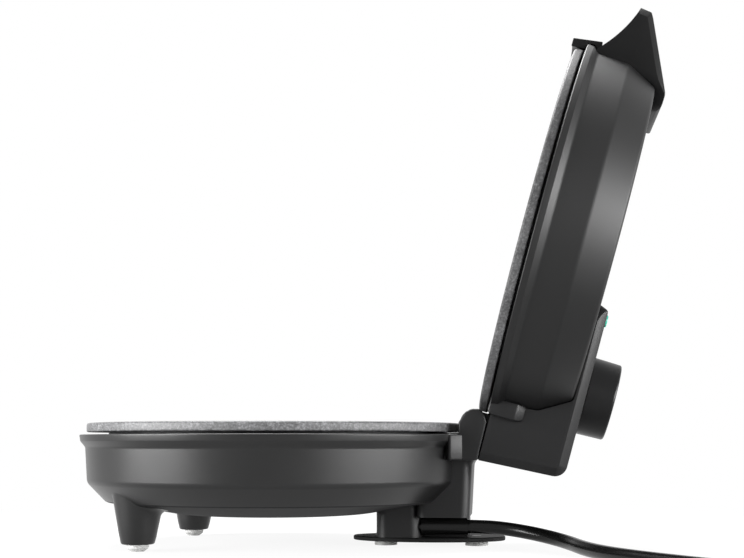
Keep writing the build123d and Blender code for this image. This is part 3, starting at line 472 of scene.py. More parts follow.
DARK = (0.0024, 0.0024, 0.0026)
JET = (0.0025, 0.0025, 0.0025)
body_plastic = moulded_plastic("body_plastic", (0.0016, 0.0016, 0.0017), 0.34, 0.36)
lid_plastic = moulded_plastic("lid_plastic", (0.0014, 0.0014, 0.0015), 0.48, 0.29)
black_plastic = moulded_plastic("black_plastic", DARK, 0.42, 0.22)
handle_plastic = moulded_plastic("handle_plastic", (0.0018, 0.0018, 0.0019), 0.40, 0.14)
knob_plastic = moulded_plastic("knob_plastic", DARK, 0.34, 0.21)
flange_plastic = moulded_plastic("flange_plastic", (0.0030, 0.0030, 0.0030), 0.55, 0.10, 1600)
gloss_plastic = moulded_plastic("gloss_plastic", JET, 0.20, 0.18, 800, 0.000005)
cord_rubber = moulded_plastic("cord_rubber", JET, 0.24, 0.18, 900, 0.00001)
plate_coating = cast_coating("plate_coating", (0.016, 0.016, 0.017), 0.5, 0.14)
cast_edge = cast_coating("cast_edge", (0.066, 0.066, 0.068), 0.8)
# The upper plate's edge is the same coating as the lower plate's, made darker and less shiny: painted
# shade.
cast_edge_lid_painted_shade = cast_coating("cast_edge_lid_painted_shade", (0.050, 0.050, 0.051), 0.6, 0.12)
underside_plastic = moulded_plastic("underside_plastic", (0.0050, 0.0050, 0.0053), 0.7, 0.12,
                                    1400, 0.00006)
print_white = soft_rubber("print_white", (0.62, 0.62, 0.60), 0.5)
pale_rubber = soft_rubber("pale_rubber", (0.30, 0.30, 0.295), 0.5)
steel = brushed_metal("steel", (0.55, 0.55, 0.56), 0.3)
brass = brushed_metal("brass", (0.75, 0.55, 0.25), 0.28)
aluminium = brushed_metal("aluminium", (0.72, 0.72, 0.73), 0.35)
nickel = brushed_metal("nickel", (0.6, 0.59, 0.57), 0.25)
green_lens = clear_lens("green_lens", (0.02, 0.42, 0.30))
lamp_glass = clear_lens("lamp_glass", (0.75, 0.5, 0.3))
sleeve = woven_sleeve("sleeve", (0.14, 0.135, 0.12))
ceramic = soft_rubber("ceramic", (0.8, 0.78, 0.72), 0.35)
phenolic = moulded_plastic("phenolic", (0.05, 0.03, 0.02), 0.35, 0.4)


# Housings

def shell_path(wall_inset, wall_depth, rest):
    """Outside of a housing from its rim to its axis, as radius and depth behind the plate's rim."""
    return [
        (RIM_RADIUS, RIM_DEPTH),
        (RIM_RADIUS - 0.6, RIM_DEPTH + 3.4),
        (RIM_RADIUS - 3.2, RIM_DEPTH + 6.5),
        (RIM_RADIUS - wall_inset, wall_depth),
    ] + rest


LATHE_SEGMENTS = 240
HOUSING_SHARP_ANGLE = 50.0
base_path = shell_path(4.6, 30.8, [(89.3, 40.8), (83.0, 41.8), (50.0, 47.6), (0.0, 47.8)])
lid_path = shell_path(4.8, 29.3, [(90.2, 45.1), (0.0, 45.7)])


def housing(name, path, radii, place, body, plastic):
    """Thin-walled housing with soft corners."""
    inside = RIM_RADIUS - 2 * WALL
    lip = [(inside, RIM_DEPTH + 1.6), (RIM_RADIUS - 1.4, RIM_DEPTH)]
    inner = inset(rounded(path, radii, 8.0, closed=False), WALL)
    inner = [(x, z) for x, z in inner if z > RIM_DEPTH + 1.0 and x < inside + 1.2]
    profile = rounded(path, radii, 4.0, closed=False) + inner[::-1] + lip
    profile = rounded(profile, {0: 0.5, len(profile) - 1: 0.4}, 15.0)
    data = turned_data(profile, LATHE_SEGMENTS)
    return finish_mesh(name, data, place, body, plastic, HOUSING_SHARP_ANGLE)


PLATE_BORDER = 6.0
PLATE_THICKNESS = 3.2
PLATE_UNDERCUT = 88.5
SKIRT_INNER = 84.5
SKIRT_DEPTH = 9.0
EDGE_BAND = 1.4
PLATE_ROUNDS = {1: 2.0, 2: 1.2, 3: 1.2, 4: 0.8, 6: 0.8, 7: 0.8}


def cooking_plate(name, recess, place, body, edge_coating):
    """Cast plate: rim, recess and skirt, with its own coating on the edge."""
    edge = PLATE_RADIUS
    back = recess + PLATE_THICKNESS
    profile = rounded([
        (0, recess), (edge - PLATE_BORDER - recess, recess), (edge - PLATE_BORDER, 0), (edge, 0),
        (edge, PLATE_EDGE), (PLATE_UNDERCUT, PLATE_EDGE), (PLATE_UNDERCUT, SKIRT_DEPTH),
        (SKIRT_INNER, SKIRT_DEPTH), (SKIRT_INNER, back), (0, back),
    ], PLATE_ROUNDS, 12.0)
    plate = finish_mesh(name, turned_data(profile, LATHE_SEGMENTS), place, body, plate_coating)
    plate.data.materials.append(edge_coating)
    back_to_local = place.inverted()
    for polygon in plate.data.polygons:
        spot = back_to_local @ polygon.center
        if math.hypot(spot.x, spot.y) > edge - EDGE_BAND:
            polygon.material_index = 1
    return plate


VENTS = 8
VENT_INNER = 23.0
VENT_OUTER = 37.0
VENT_HALF = 1.5
VENT_CORNER = 1.49
VENT_LOW = 5.0
VENT_HIGH = 35.0
DOWNWARD = -0.8
BASE_ROUNDS = {1: 0.6, 2: 2.5, 3: 5.0, 4: 4.0, 5: 9.0, 6: 60.0}
base_shell = housing("base_shell", base_path, BASE_ROUNDS, STACK, "base", body_plastic)
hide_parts("base_housing")
vent = rounded(box_outline(VENT_INNER, VENT_OUTER, -VENT_HALF, VENT_HALF),
               all_corners(VENT_CORNER), 20.0)
for index in range(VENTS):
    turn = Matrix.Rotation(2 * math.pi * (index + 0.5) / VENTS, 4, "Z")
    cutter = loose(plan_data(vent, VENT_LOW, VENT_HIGH), BASE @ turn)
    combine(base_shell, cutter, "DIFFERENCE")
base_shell.data.materials.append(underside_plastic)
for polygon in base_shell.data.polygons:
    if polygon.normal.z < DOWNWARD:
        polygon.material_index = 1

LID_ROUNDS = {1: 0.6, 2: 2.5, 3: 5.0, 4: 3.0}
lid_shell = housing("lid_shell", lid_path, LID_ROUNDS, LID, "lid", lid_plastic)
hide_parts("lid_housing")

LOWER_RECESS = 3.2
UPPER_RECESS = 1.5
lower_plate = cooking_plate("lower_plate", LOWER_RECESS, STACK, "base", cast_edge)
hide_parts("lower_cooking_plate")
# Its edge takes the darker copy of the edge coating, which is painted shade.
upper_plate = cooking_plate("upper_plate", UPPER_RECESS, LID, "lid", cast_edge_lid_painted_shade)
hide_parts("upper_cooking_plate")


# Front legs, blended into the belly

FOOT_CIRCLE = 81.7
FOOT_ANGLE = 44.36
FOOT_HEIGHT = 3.5
LEG_BOTTOM = 8.5
LEG_GROW = 0.188
LEG_EDGE = 1.2
LEG_BLEND = 3.2
LEG_CREASE = 0.5
CREASE_SPAN = 0.7
BELLY_GUESS = 20.0
FLARE_PASSES = 4
LEG_SEGMENTS = 96
EDGE_RINGS = 4
SHANK_RINGS = 5
BLEND_RINGS = 8
base_outline = rounded(base_path, BASE_ROUNDS, 4.0, closed=False)


def belly_height(x, y):
    """Height of the base's underside at a place."""
    radius = math.hypot(x, y)
    for (first, first_depth), (second, second_depth) in zip(base_outline, base_outline[1:]):
        if second <= radius <= first and first > second:
            share = (first - radius) / (first - second)
            return PLATE_FACE - first_depth - (second_depth - first_depth) * share
    return PLATE_FACE - base_outline[-1][1]


def leg_ring(data, centre, place_at):
    """Ring of vertices round a leg's axis; place_at gives radius and height for a direction."""
    ring = []
    for k in range(LEG_SEGMENTS):
        angle = 2 * math.pi * k / LEG_SEGMENTS
        across = Vector((math.cos(angle), math.sin(angle)))
        radius, height = place_at(across)
        spot = centre + across * radius
        ring.append(data.verts.new((spot.x, spot.y, height)))
    return ring


def shank_radius(height):
    """Radius of a leg's tapered part at a height."""
    return LEG_BOTTOM + LEG_GROW * (height - FOOT_HEIGHT)


def flare_place(centre, across, turn):
    """Radius and height of the flare into the belly, after a part of its quarter turn."""
    outward = min(max(across.dot(centre.normalized()) / CREASE_SPAN, 0), 1)
    size = LEG_BLEND + (LEG_CREASE - LEG_BLEND) * outward ** 2 * (3 - 2 * outward)
    height = BELLY_GUESS
    for _ in range(FLARE_PASSES):
        radius = shank_radius(height) + (1 - math.cos(turn)) * size
        spot = centre + across * radius
        height = belly_height(spot.x, spot.y) - (1 - math.sin(turn)) * size
    return radius, height


def front_leg(name, node, side):
    """Tapered leg that flares into the belly."""
    angle = math.radians(FOOT_ANGLE)
    centre = Vector((-FOOT_CIRCLE * math.cos(angle), side * FOOT_CIRCLE * math.sin(angle)))
    shank_low = FOOT_HEIGHT + LEG_EDGE
    quarter = math.pi / 2

    def edge_place(turn):
        """Rounded lower edge."""
        radius = LEG_BOTTOM - LEG_EDGE * (1 - math.sin(turn))
        height = FOOT_HEIGHT + LEG_EDGE * (1 - math.cos(turn))
        return lambda across: (radius, height)

    def shank_place(share):
        """Tapered part, up to where the flare starts."""
        def place(across):
            height = shank_low + (flare_place(centre, across, 0)[1] - shank_low) * share
            return shank_radius(height), height
        return place

    def belly_place(turn):
        """Flare into the belly."""
        return lambda across: flare_place(centre, across, turn)

    def cap_place(across):
        """Last ring, just inside the belly."""
        radius, height = flare_place(centre, across, quarter)
        return radius - 1.0, height + 0.6

    places = [edge_place(quarter * k / EDGE_RINGS) for k in range(EDGE_RINGS + 1)]
    places += [shank_place(k / SHANK_RINGS) for k in range(1, SHANK_RINGS + 1)]
    places += [belly_place(quarter * k / BLEND_RINGS) for k in range(1, BLEND_RINGS + 1)]
    places.append(cap_place)
    data = bmesh.new()
    skin_rings(data, [leg_ring(data, centre, place) for place in places])
    piece = finish_mesh(name, data, BASE, "base", body_plastic)
    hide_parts(node)


front_leg("leg_near", "front_leg_near", -1)
front_leg("leg_far", "front_leg_far", 1)


# Hinge tower; places are taken from the hinge axis

TOWER_HALF = 36.0
TOWER_DROP = 19.0
TOWER_EDGE = 0.9
TOWER_FLOOR = 15.5
FLANGE_TOP = 5.0
SLOT_HALF = 26.0
THROAT_DROP = TOWER_DROP + 4.0
THROAT_HALF = 25.0
THROAT_CORNER = 5.0
THROAT_FRONT = -29.3
THROAT_RINGS = 8
tower_side = rounded([
    (-19.3, -TOWER_DROP), (-19.3, -5.0), (-6.8, -5.0), (-6.8, 0.0), (-3.3, 5.3),
    (-0.2, 6.9), (3.7, 6.9), (6.6, 4.2), (7.4, 0.0), (2.6, -TOWER_DROP),
], {3: 2.0, 4: 3.0, 5: 4.0, 6: 3.0, 7: 4.0, 8: 3.0, 9: 1.5}, 9.0)


def tower_head():
    """Cheeks and the block between them, with a shelf in front."""
    head = loose(prism_data(tower_side, -TOWER_HALF, TOWER_HALF))
    slot = loose(prism_data(box_outline(-11.3, 15.0, -9.2, 14.0), -SLOT_HALF, SLOT_HALF))
    return softened(combine(head, slot, "DIFFERENCE"), TOWER_EDGE, 40.0, 3)


def tower_ear(side):
    """Block that flanks the tower under the rim, with a slanted outer face."""
    plan = [(-13.6, 28.0), (-13.6, 36.8), (-11.6, 40.0), (-4.1, 35.4), (-4.1, 28.0)]
    plan = rounded([(x, side * y) for x, y in plan], {1: 1.6, 2: 1.6, 3: 1.2}, 12.0)
    return softened(loose(plan_data(plan, -TOWER_DROP, -5.8)), TOWER_EDGE, 50.0, 3)


def tower_foot(x0, x1, half, corner, low, high, lean=0.0):
    """Upright block with round corners; its rear lies further out by lean at the top."""
    plan = rounded(box_outline(x0, x1, -half, half), all_corners(corner), 7.5)
    data = plan_data(plan, low, high)
    middle = (x0 + x1) / 2
    for vertex in data.verts:
        if vertex.co.x > middle:
            vertex.co.x += lean * (vertex.co.z - low) / (high - low)
    return loose(data)


def tower_throat():
    """Flare between the lower tower and the cheeks, rear corners round."""
    data = bmesh.new()
    rings = []
    for k in range(THROAT_RINGS + 1):
        turn = math.pi / 2 * k / THROAT_RINGS
        rear = -0.7 + 3.3 * (1 - math.cos(turn))
        height = 4.2 * math.sin(turn) - THROAT_DROP
        outline = box_outline(THROAT_FRONT, rear, -THROAT_HALF, THROAT_HALF)
        plan = rounded(outline, all_corners(THROAT_CORNER), 7.5)
        rings.append([data.verts.new((point.x, point.y, height)) for point in plan])
    skin_rings(data, rings)
    bmesh.ops.recalc_face_normals(data, faces=data.faces)
    return loose(data)


def hinge_tower():
    """Tower with its column, neck, cheeks and ears."""
    low = -PLATE_FACE
    steps = [
        tower_head(), tower_ear(-1), tower_ear(1), tower_throat(),
        tower_foot(THROAT_FRONT, -2.2, THROAT_HALF, THROAT_CORNER, low + TOWER_FLOOR,
                   -THROAT_DROP, 1.5),
        tower_foot(-50.8, -27.3, 20.0, 6.0, low + FLANGE_TOP, -30.0),
        tower_foot(-47.3, -2.7, 9.0, 1.5, low + FLANGE_TOP, low + TOWER_FLOOR + 1.0),
    ]
    place = BASE @ Matrix.Translation((hinge_reach, 0, PLATE_FACE))
    piece = as_piece("tower", joined(steps), place, "base", black_plastic)
    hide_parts("hinge_tower")


hinge_tower()


# Control housing, in the lid's frame: x toward the handle, z out of the lid's back

CONTROL_HALF = 36.0
CONTROL_CHAMFER = 4.2
CONTROL_TOP = 51.2
CONTROL_END = -31.0
BLOCK_INNER = 7.5
BLOCK_EDGE = -92.0
LID_TOP = 45.1
LID_WALL_TOP = 29.3
SEAM = 0.7
HINGE_X = -107.3
HINGE_Z = -0.55
KNUCKLE_RADIUS = 6.4
KNUCKLE_INNER = 17.5
KNUCKLE_OUTER = 25.7
NECK_HALF = 6.0
EAR_INNER = 34.0
EAR_OUTER = 40.0
RIB_HALF = 17.0
CUTTER_SEGMENTS = 192
CORNER_STEP = 10.0
control_corners = [
    (BLOCK_EDGE, BLOCK_INNER), (-124.8, BLOCK_INNER), (-121.9, CONTROL_TOP),
    (-34.4, CONTROL_TOP), (CONTROL_END, LID_TOP), (CONTROL_END, LID_WALL_TOP),
    (BLOCK_EDGE, LID_WALL_TOP),
]


def lines_inset(points, distances):
    """Corners of an outline whose edges have moved inward by their own distances."""
    count = len(points)
    area = sum(a[0] * b[1] - b[0] * a[1] for a, b in zip(points, points[1:] + points[:1]))
    side = 1 if area > 0 else -1
    lines = []
    for k in range(count):
        start, finish = Vector(points[k]), Vector(points[(k + 1) % count])
        along = (finish - start).normalized()
        inward = Vector((-along.y, along.x)) * side
        lines.append((start + inward * distances[k], along))
    corners = []
    for k in range(count):
        (a, u), (b, v) = lines[k - 1], lines[k]
        cross = u.x * v.y - u.y * v.x
        reach = ((b.x - a.x) * v.y - (b.y - a.y) * v.x) / cross
        corners.append(tuple(a + u * reach))
    return corners


def chamfered_block(points, radii, distances, half, chamfer):
    """Block between y = -half and half whose side faces are smaller by the given distances."""
    full = rounded(points, radii, CORNER_STEP)
    small_radii = {k: max(0.6, radius - chamfer) for k, radius in radii.items()}
    corners = lines_inset(points, distances)
    small = []
    for k, point in enumerate(corners):
        if k not in radii:
            small.append(Vector(point))
            continue
        ring = rounded(corners, {k: small_radii[k]}, CORNER_STEP)
        count = len(rounded(points, {k: radii[k]}, CORNER_STEP)) - len(points) + 1
        arc = ring[k:k + len(ring) - len(corners) + 1]
        for step in range(count):
            share = step / (count - 1) * (len(arc) - 1)
            low = min(int(share), len(arc) - 2)
            small.append(arc[low].lerp(arc[low + 1], share - low))
    data = bmesh.new()
    levels = [(small, -half), (full, chamfer - half), (full, half - chamfer), (small, half)]
    rings = [[data.verts.new((point.x, y, point.y)) for point in ring] for ring, y in levels]
    skin_rings(data, rings)
    bmesh.ops.recalc_face_normals(data, faces=data.faces)
    return loose(data)


def lid_cutter(gap):
    """The lid's outside, larger by a gap."""
    outer = rounded(lid_path, LID_ROUNDS, 4.0, closed=False)
    grown = [(radius + gap * 0.8, depth + gap * 0.8) for radius, depth in outer[:-1]]
    ends = [(0, -20), (outer[0][0] + gap, -20)]
    return loose(turned_data(ends + grown + [(0, outer[-1][1] + gap)], CUTTER_SEGMENTS))


def control_ear(side):
    """Block that flanks the hinge block over the rim, with a slanted outer face."""
    outline = [(BLOCK_EDGE, 5.5), (-100.9, 5.5), (-100.9, 24.0), (BLOCK_EDGE, 24.0)]
    ends = sorted((side * EAR_INNER, side * EAR_OUTER))
    ear = loose(prism_data(rounded(outline, {1: 2.5, 2: 2.5}, 12.0), *ends))
    slant = [(40.2, 19.6), (35.6, 24.2), (35.6, 30.0), (42.0, 30.0), (42.0, 19.6)]
    cut = loose(end_data([(side * y, z) for y, z in slant], -104.0, -88.0))
    return softened(combine(ear, cut, "DIFFERENCE"), 0.9, 30.0, 3)


def control_knuckle(side):
    """Knuckle on the hinge axis and the neck that ties it to the block."""
    low, high = sorted((side * KNUCKLE_INNER, side * KNUCKLE_OUTER))
    round_part = [(HINGE_X + KNUCKLE_RADIUS * math.cos(math.radians(a)),
                   HINGE_Z + KNUCKLE_RADIUS * math.sin(math.radians(a))) for a in range(0, 360, 6)]
    neck = box_outline(HINGE_X - NECK_HALF, HINGE_X + NECK_HALF, HINGE_Z, BLOCK_INNER + 1.0)
    return [softened(loose(prism_data(round_part, low, high)), 0.5, 40.0, 2),
            loose(prism_data(neck, low, high))]


def control_housing():
    """Hinge block and control panel in one moulding."""
    chamfer = CONTROL_CHAMFER
    body = chamfered_block(control_corners, {2: 6.5, 3: 2.0},
                           [0, chamfer, chamfer, chamfer, 0, 0, 0], CONTROL_HALF, chamfer)
    plan = rounded(box_outline(-140.0, CONTROL_END, -CONTROL_HALF, CONTROL_HALF),
                   {1: 12.0, 2: 12.0}, 7.5)
    body = combine(body, loose(plan_data(plan, 0, 60)), "INTERSECT")
    body = combine(body, lid_cutter(SEAM), "DIFFERENCE")
    steps = [softened(body, 0.8, 24.0, 3)]
    for side in (-1, 1):
        steps += [control_ear(side)] + control_knuckle(side)
    rib = rounded(box_outline(-104.4, -100.6, 0.3, BLOCK_INNER + 1.0), {0: 1.0, 1: 1.0}, 15.0)
    steps.append(loose(prism_data(rib, -RIB_HALF, RIB_HALF)))
    piece = as_piece("control_block", joined(steps), LID, "lid", black_plastic)
    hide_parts("control_housing")


control_housing()


# Handle, in the lid's frame

HANDLE_HALF = 38.0
HANDLE_CHAMFER = 3.2
TONGUE_REACH = 29.8
TIP_CHAMFER = 4.2
SCOOP_POINTS = 14
APRON_HALF = 31.0
APRON_GAP = 0.275


def arc_points(start, middle, end, count):
    """Points between the ends of an arc through three points."""
    (ax, ay), (bx, by), (cx, cy) = start, middle, end
    d = 2 * (ax * (by - cy) + bx * (cy - ay) + cx * (ay - by))
    sa, sb, sc = ax * ax + ay * ay, bx * bx + by * by, cx * cx + cy * cy
    centre = Vector(((sa * (by - cy) + sb * (cy - ay) + sc * (ay - by)) / d,
                     (sa * (cx - bx) + sb * (ax - cx) + sc * (bx - ax)) / d))
    first, last = Vector(start) - centre, Vector(end) - centre
    turn = math.atan2(first.x * last.y - first.y * last.x, first.dot(last))
    return [tuple(centre + turned_by(first, turn * k / count)) for k in range(1, count)]


def handle():
    """Scooped handle with a tongue on the lid and an apron over its rim."""
    rim = RIM_RADIUS
    top = LID_TOP + 5.7
    tongue = rim - TONGUE_REACH
    root = (rim - 8.7, 10.0)
    tip = (rim + 19.2, 27.5)
    scoop = arc_points(tip, (rim + 5.5, 21.3), root, SCOOP_POINTS)
    points = [
        root, (tongue, LID_TOP - 2.0), (tongue, top), (rim - 22.1, top),
        (rim + 15.3, 34.9), (rim + 18.1, 33.4), tip,
    ] + scoop
    chamfer = HANDLE_CHAMFER
    distances = [0, 0, chamfer, chamfer, chamfer, TIP_CHAMFER] + [0.5] * (len(scoop) + 1)
    body = chamfered_block(points, {2: 3.4, 3: 8.0, 4: 1.0, 5: 1.0}, distances, HANDLE_HALF, chamfer)
    plan = rounded(box_outline(tongue, rim + 60.0, -HANDLE_HALF, HANDLE_HALF),
                   {0: 17.0, 3: 17.0}, 6.0)
    body = combine(body, loose(plan_data(plan, -10, 60)), "INTERSECT")
    low, high = -2.3, 13.0
    inner = rim + APRON_GAP
    ring = loose(turned_data([
        (rim - 3.0, low), (rim + 1.3, low), (rim + 2.7, high), (rim - 3.2, high),
        (rim - 3.2, 12.5), (inner, 9.4), (inner, 5.7), (rim - 3.0, 5.7),
    ], LATHE_SEGMENTS))
    span = loose(prism_data(box_outline(0, 2 * rim, low - 1, high + 1), -APRON_HALF, APRON_HALF))
    apron = softened(combine(ring, span, "INTERSECT"), 0.8, 50.0, 3)
    body = softened(combine(body, lid_cutter(0.05), "DIFFERENCE"), 0.7, 24.0, 3)
    piece = as_piece("lid_handle", joined([body, apron]), LID, "lid", handle_plastic)
    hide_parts("handle")


handle()


# Marks on the panel and the knob

KNOB_X = -77.3
KNOB_TOP = 66.5
MARKS = 11
MARK_FIRST = -135
MARK_STEP = 27
MARK_START = 22.6
MARK_WIDTH = 0.9
LONG_MARK = 4.2
SHORT_MARK = 2.6
MARK_DEPTH = 0.15
POINTER_START = 8.0
POINTER_END = 18.6
POINTER_WIDTH = 1.6


def mark_bar(angle, start, end, width, low, high):
    """Thin bar that points away from the knob's axis."""
    bar = rounded(box_outline(start, end, -width / 2, width / 2), all_corners(width * 0.45), 30.0)
    c, s = math.cos(angle), math.sin(angle)
    bar = [(KNOB_X + p.x * c - p.y * s, p.x * s + p.y * c) for p in bar]
    return loose(plan_data(bar, low, high))


def dial_marks():
    """Printed scale round the knob, every fifth mark longer."""
    steps = []
    for k in range(MARKS):
        angle = math.radians(MARK_FIRST + MARK_STEP * k)
        end = MARK_START + (LONG_MARK if k % 5 == 0 else SHORT_MARK)
        low, high = CONTROL_TOP - 0.3, CONTROL_TOP + MARK_DEPTH
        steps.append(mark_bar(angle, MARK_START, end, MARK_WIDTH, low, high))
    as_piece("dial_marks", joined(steps), LID, "lid", print_white)


def knob_pointer():
    """Inlaid pointer on the knob's face."""
    bar = mark_bar(math.radians(MARK_FIRST), POINTER_START, POINTER_END, POINTER_WIDTH,
                   KNOB_TOP - 0.6, KNOB_TOP + 0.2)
    as_piece("knob_pointer", bar, LID, "knob", print_white)


dial_marks()
knob_pointer()


# Cord: the points of the cord's line, from the strain relief to the coil

CORD_RADIUS = 3.5
cord_points = [
    (104.0, -14.2, 10.6),
    (113.0, -14.2, 10.6),
    (124.9, -15.9, 9.6),
    (137.7, -21.6, 7.8),
    (147.9, -31.1, 6.1),
    (155.2, -44.2, 4.8),
    (161.0, -64.4, 3.8),
    (169.9, -88.8, 3.5),
    (184.4, -115.0, 3.5),
    (202.8, -141.2, 3.5),
]
CORD_ALONG = 10
CORD_ROUND = 7
COIL_CENTRE = (276.6, -162.9)
COIL_RADIUS = 44.5
COIL_PITCH = 8.5
COIL_TURNS = 2.396
COIL_START = 217.4
COIL_LAYER = 7.5
COIL_TURNAROUND = 0.08
COIL_POINTS = 14
COIL_LEAD_IN = 24.0
PLUG_LEAD = (8.0, 14.0, 9.0)
PLUG_TURN = 8.0
PLUG_HALF = 13.0


def coil_point(turn):
    """Point of the wound cord's line after some turns: in, up a layer, and out again."""
    middle = COIL_TURNS / 2
    swing = math.hypot(middle, COIL_TURNAROUND)
    drawn_in = swing - math.hypot(turn - middle, COIL_TURNAROUND)
    radius = COIL_RADIUS - COIL_PITCH * drawn_in
    climb = min(max((turn - middle) * 2 + 0.5, 0), 1)
    height = CORD_RADIUS + COIL_LAYER * climb ** 2 * (3 - 2 * climb)
    angle = math.radians(COIL_START) + 2 * math.pi * turn
    x = COIL_CENTRE[0] + radius * math.cos(angle)
    return Vector((x, COIL_CENTRE[1] + radius * math.sin(angle), height))


def coil_heading(turn):
    """Direction of the wound cord."""
    step = 0.0005
    return (coil_point(turn + step) - coil_point(turn - step)).normalized()


def cord_line():
    """Control points of the whole cord, from the relief through the coil to the plug."""
    line = [Vector(point) for point in cord_points]
    first = coil_heading(0)
    start = coil_point(0) - first * 2 * CORD_RADIUS
    line += [start - first * COIL_LEAD_IN, start]
    count = math.ceil(COIL_TURNS * COIL_POINTS)
    line += [coil_point(COIL_TURNS * k / count) for k in range(count + 1)]
    last = coil_heading(COIL_TURNS)
    end = coil_point(COIL_TURNS) + last * 2 * CORD_RADIUS
    turn = Matrix.Rotation(math.radians(PLUG_TURN), 3, "Z")
    second = turn @ last
    rise = Vector((0, 0, PLUG_HALF - end.z))
    corner = end + last * PLUG_LEAD[0]
    climb = corner + second * PLUG_LEAD[1] + rise
    return line + [end, corner, climb, climb + turn @ second * PLUG_LEAD[2]]


def nurbs_tube(name, points, place, radius, body, material):
    """Round cord along a smooth spline."""
    curve = bpy.data.curves.new(name, "CURVE")
    curve.dimensions = "3D"
    spline = curve.splines.new("NURBS")
    spline.points.add(len(points) - 1)
    for control, point in zip(spline.points, points):
        control.co = (*(place @ point), 1)
    spline.order_u = 3
    spline.use_endpoint_u = True
    spline.resolution_u = CORD_ALONG
    curve.bevel_depth = radius * MM
    curve.bevel_resolution = CORD_ROUND
    curve.use_fill_caps = True
    curve.materials.append(material)
    piece = bpy.data.objects.new(name, curve)
    bpy.context.scene.collection.objects.link(piece)
    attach(piece, body)
    return piece


line = cord_line()
mains_cord = nurbs_tube("mains_cord", line, BASE, CORD_RADIUS, "base", cord_rubber)
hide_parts("power_cord", "cord_coil", "plug_lead")


def line_length(piece):
    """Length of a curve's own line, in metres."""
    bare = piece.data.copy()
    bare.bevel_depth = 0
    step = bpy.data.objects.new("line", bare)
    mesh = bpy.data.meshes.new_from_object(step)
    length = sum((mesh.vertices[a].co - mesh.vertices[b].co).length
                 for a, b in (edge.vertices for edge in mesh.edges))
    bpy.data.objects.remove(step)
    return length


cord_length = line_length(mains_cord)
print("cord length", round(cord_length, 4))


# Materials of the CAD nodes that stay

node_materials = {
    knob_plastic: ("thermostat_knob",),
    flange_plastic: ("cord_wrap_flange",),
    gloss_plastic: ("plug",),
    cord_rubber: ("strain_relief", "supply_lead"),
    pale_rubber: ("front_feet", "rear_pads"),
    steel: ("leg_screws", "flange_screws", "lower_plate_screws", "upper_plate_screws", "tower_screws",
            "handle_screws", "control_housing_screws", "hinge_pins", "thermostat_shaft"),
    nickel: ("plug_pins", "lower_heating_element", "upper_heating_element"),
    aluminium: ("lower_heat_reflector", "upper_heat_reflector"),
    brass: ("thermostat",),
    green_lens: ("indicator_lens",),
    lamp_glass: ("indicator_lamp",),
    sleeve: ("hinge_lead", "lid_lead"),
    ceramic: ("terminal_block",),
    phenolic: ("thermal_fuse",),
}
for material, names in node_materials.items():
    for name in names:
        for slot in nodes[name].material_slots:
            slot.material = material


# Camera, fitted to the photograph; its yaw and pitch are in radians

CAMERA_PLACE = (129.98, -700.0, 53.65)
CAMERA_YAW = 0.1102
CAMERA_PITCH = 0.1249
LENS = 63.04
SENSOR = 36.0
camera_data = bpy.data.cameras.new("camera")
camera_data.lens = LENS
camera_data.sensor_width = SENSOR
camera_data.sensor_fit = "HORIZONTAL"
camera_data.clip_start = 0.01
camera = bpy.data.objects.new("camera", camera_data)
camera.location = BASE @ Vector(CAMERA_PLACE)
camera.rotation_euler = (math.pi / 2 + CAMERA_PITCH, 0, CAMERA_YAW)
bpy.context.scene.collection.objects.link(camera)
bpy.context.scene.camera = camera


# Studio, in metres

SUBJECT = (0, 0, 0.10)
AMBIENT = 0.45
FLOOR_HALF = 6.0
FLOOR_GLOW = 0.9
SHADOW_NEAR = 0.12
SHADOW_FAR = 0.45


def area_light(name, place, aim, size, power):
    """Soft box that faces a point."""
    data = bpy.data.lights.new(name, "AREA")
    data.shape = "RECTANGLE"
    data.size, data.size_y = size
    data.energy = power
    lamp = bpy.data.objects.new(name, data)
    lamp.location = place
    lamp.rotation_euler = (Vector(aim) - Vector(place)).to_track_quat("-Z", "Y").to_euler()
    bpy.context.scene.collection.objects.link(lamp)


area_light("left_box", (-1.02, -0.56, 0.22), (-0.05, 0, 0.10), (0.86, 0.46), 40)
area_light("right_box", (1.15, -0.36, 0.17), SUBJECT, (0.86, 0.34), 26)
area_light("front_box", (0.86, -0.86, 0.17), SUBJECT, (0.42, 0.34), 6)
area_light("top_box", (-0.20, 0.32, 1.18), SUBJECT, (1.0, 0.8), 46)


def seen_rays(tree):
    """1 for camera, glossy and transmission rays, else 0."""
    path = tree.nodes.new("ShaderNodeLightPath")
    share = path.outputs["Is Camera Ray"]
    for output in ("Is Glossy Ray", "Is Transmission Ray"):
        both = tree.nodes.new("ShaderNodeMath")
        both.operation = "MAXIMUM"
        tree.links.new(share, both.inputs[0])
        tree.links.new(path.outputs[output], both.inputs[1])
        share = both.outputs[0]
    return share


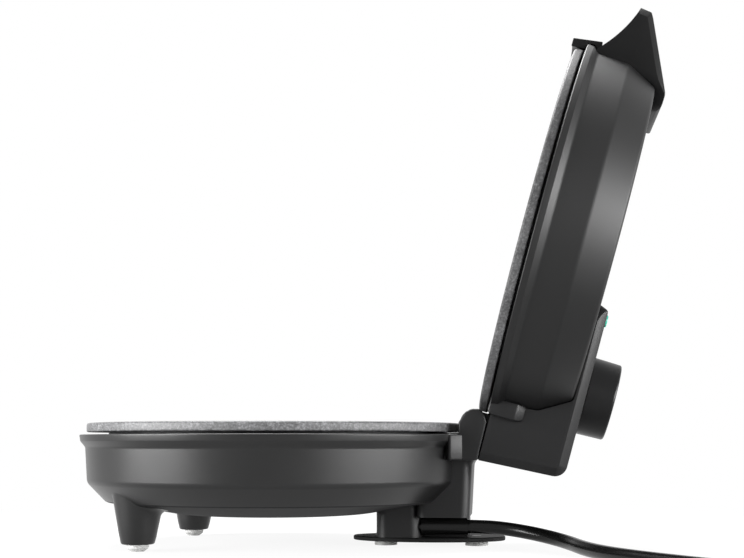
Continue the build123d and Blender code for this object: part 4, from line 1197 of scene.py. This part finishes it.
def stage_material():
    """Floor that looks white to the camera and keeps a soft shadow."""
    material, tree, surface = shader("stage", (0.9, 0.9, 0.9), 0.9, 0.1)
    glow = add_node(tree, "ShaderNodeEmission", Strength=1.0)
    reach = add_node(tree, "ShaderNodeVectorMath")
    reach.operation = "LENGTH"
    tree.links.new(object_coordinates(tree), reach.inputs[0])
    far = add_node(tree, "ShaderNodeMapRange", From_Min=SHADOW_NEAR, From_Max=SHADOW_FAR,
                   To_Min=FLOOR_GLOW, To_Max=1.0)
    far.interpolation_type = "SMOOTHSTEP"
    tree.links.new(reach.outputs["Value"], far.inputs["Value"])
    share = tree.nodes.new("ShaderNodeMath")
    share.operation = "MULTIPLY"
    mix = tree.nodes.new("ShaderNodeMixShader")
    tree.links.new(seen_rays(tree), share.inputs[0])
    tree.links.new(far.outputs["Result"], share.inputs[1])
    tree.links.new(share.outputs[0], mix.inputs[0])
    tree.links.new(surface.outputs[0], mix.inputs[1])
    tree.links.new(glow.outputs[0], mix.inputs[2])
    tree.links.new(mix.outputs[0], tree.nodes["Material Output"].inputs["Surface"])
    return material


def studio_world():
    """Even ambient light; white to the camera and in reflections."""
    world = bpy.data.worlds.new("studio")
    world.use_nodes = True
    tree = world.node_tree
    ambient = tree.nodes["Background"]
    ambient.inputs["Color"].default_value = (1, 1, 1, 1)
    ambient.inputs["Strength"].default_value = AMBIENT
    white = add_node(tree, "ShaderNodeBackground", Color=(1, 1, 1, 1), Strength=1.0)
    mix = tree.nodes.new("ShaderNodeMixShader")
    tree.links.new(seen_rays(tree), mix.inputs[0])
    tree.links.new(ambient.outputs[0], mix.inputs[1])
    tree.links.new(white.outputs[0], mix.inputs[2])
    tree.links.new(mix.outputs[0], tree.nodes["World Output"].inputs["Surface"])
    bpy.context.scene.world = world


floor_data = bmesh.new()
bmesh.ops.create_grid(floor_data, x_segments=1, y_segments=1, size=FLOOR_HALF)
floor = finish_mesh("floor", floor_data, Matrix.Identity(4), None, stage_material())
studio_world()
bpy.context.scene.view_settings.view_transform = "Standard"
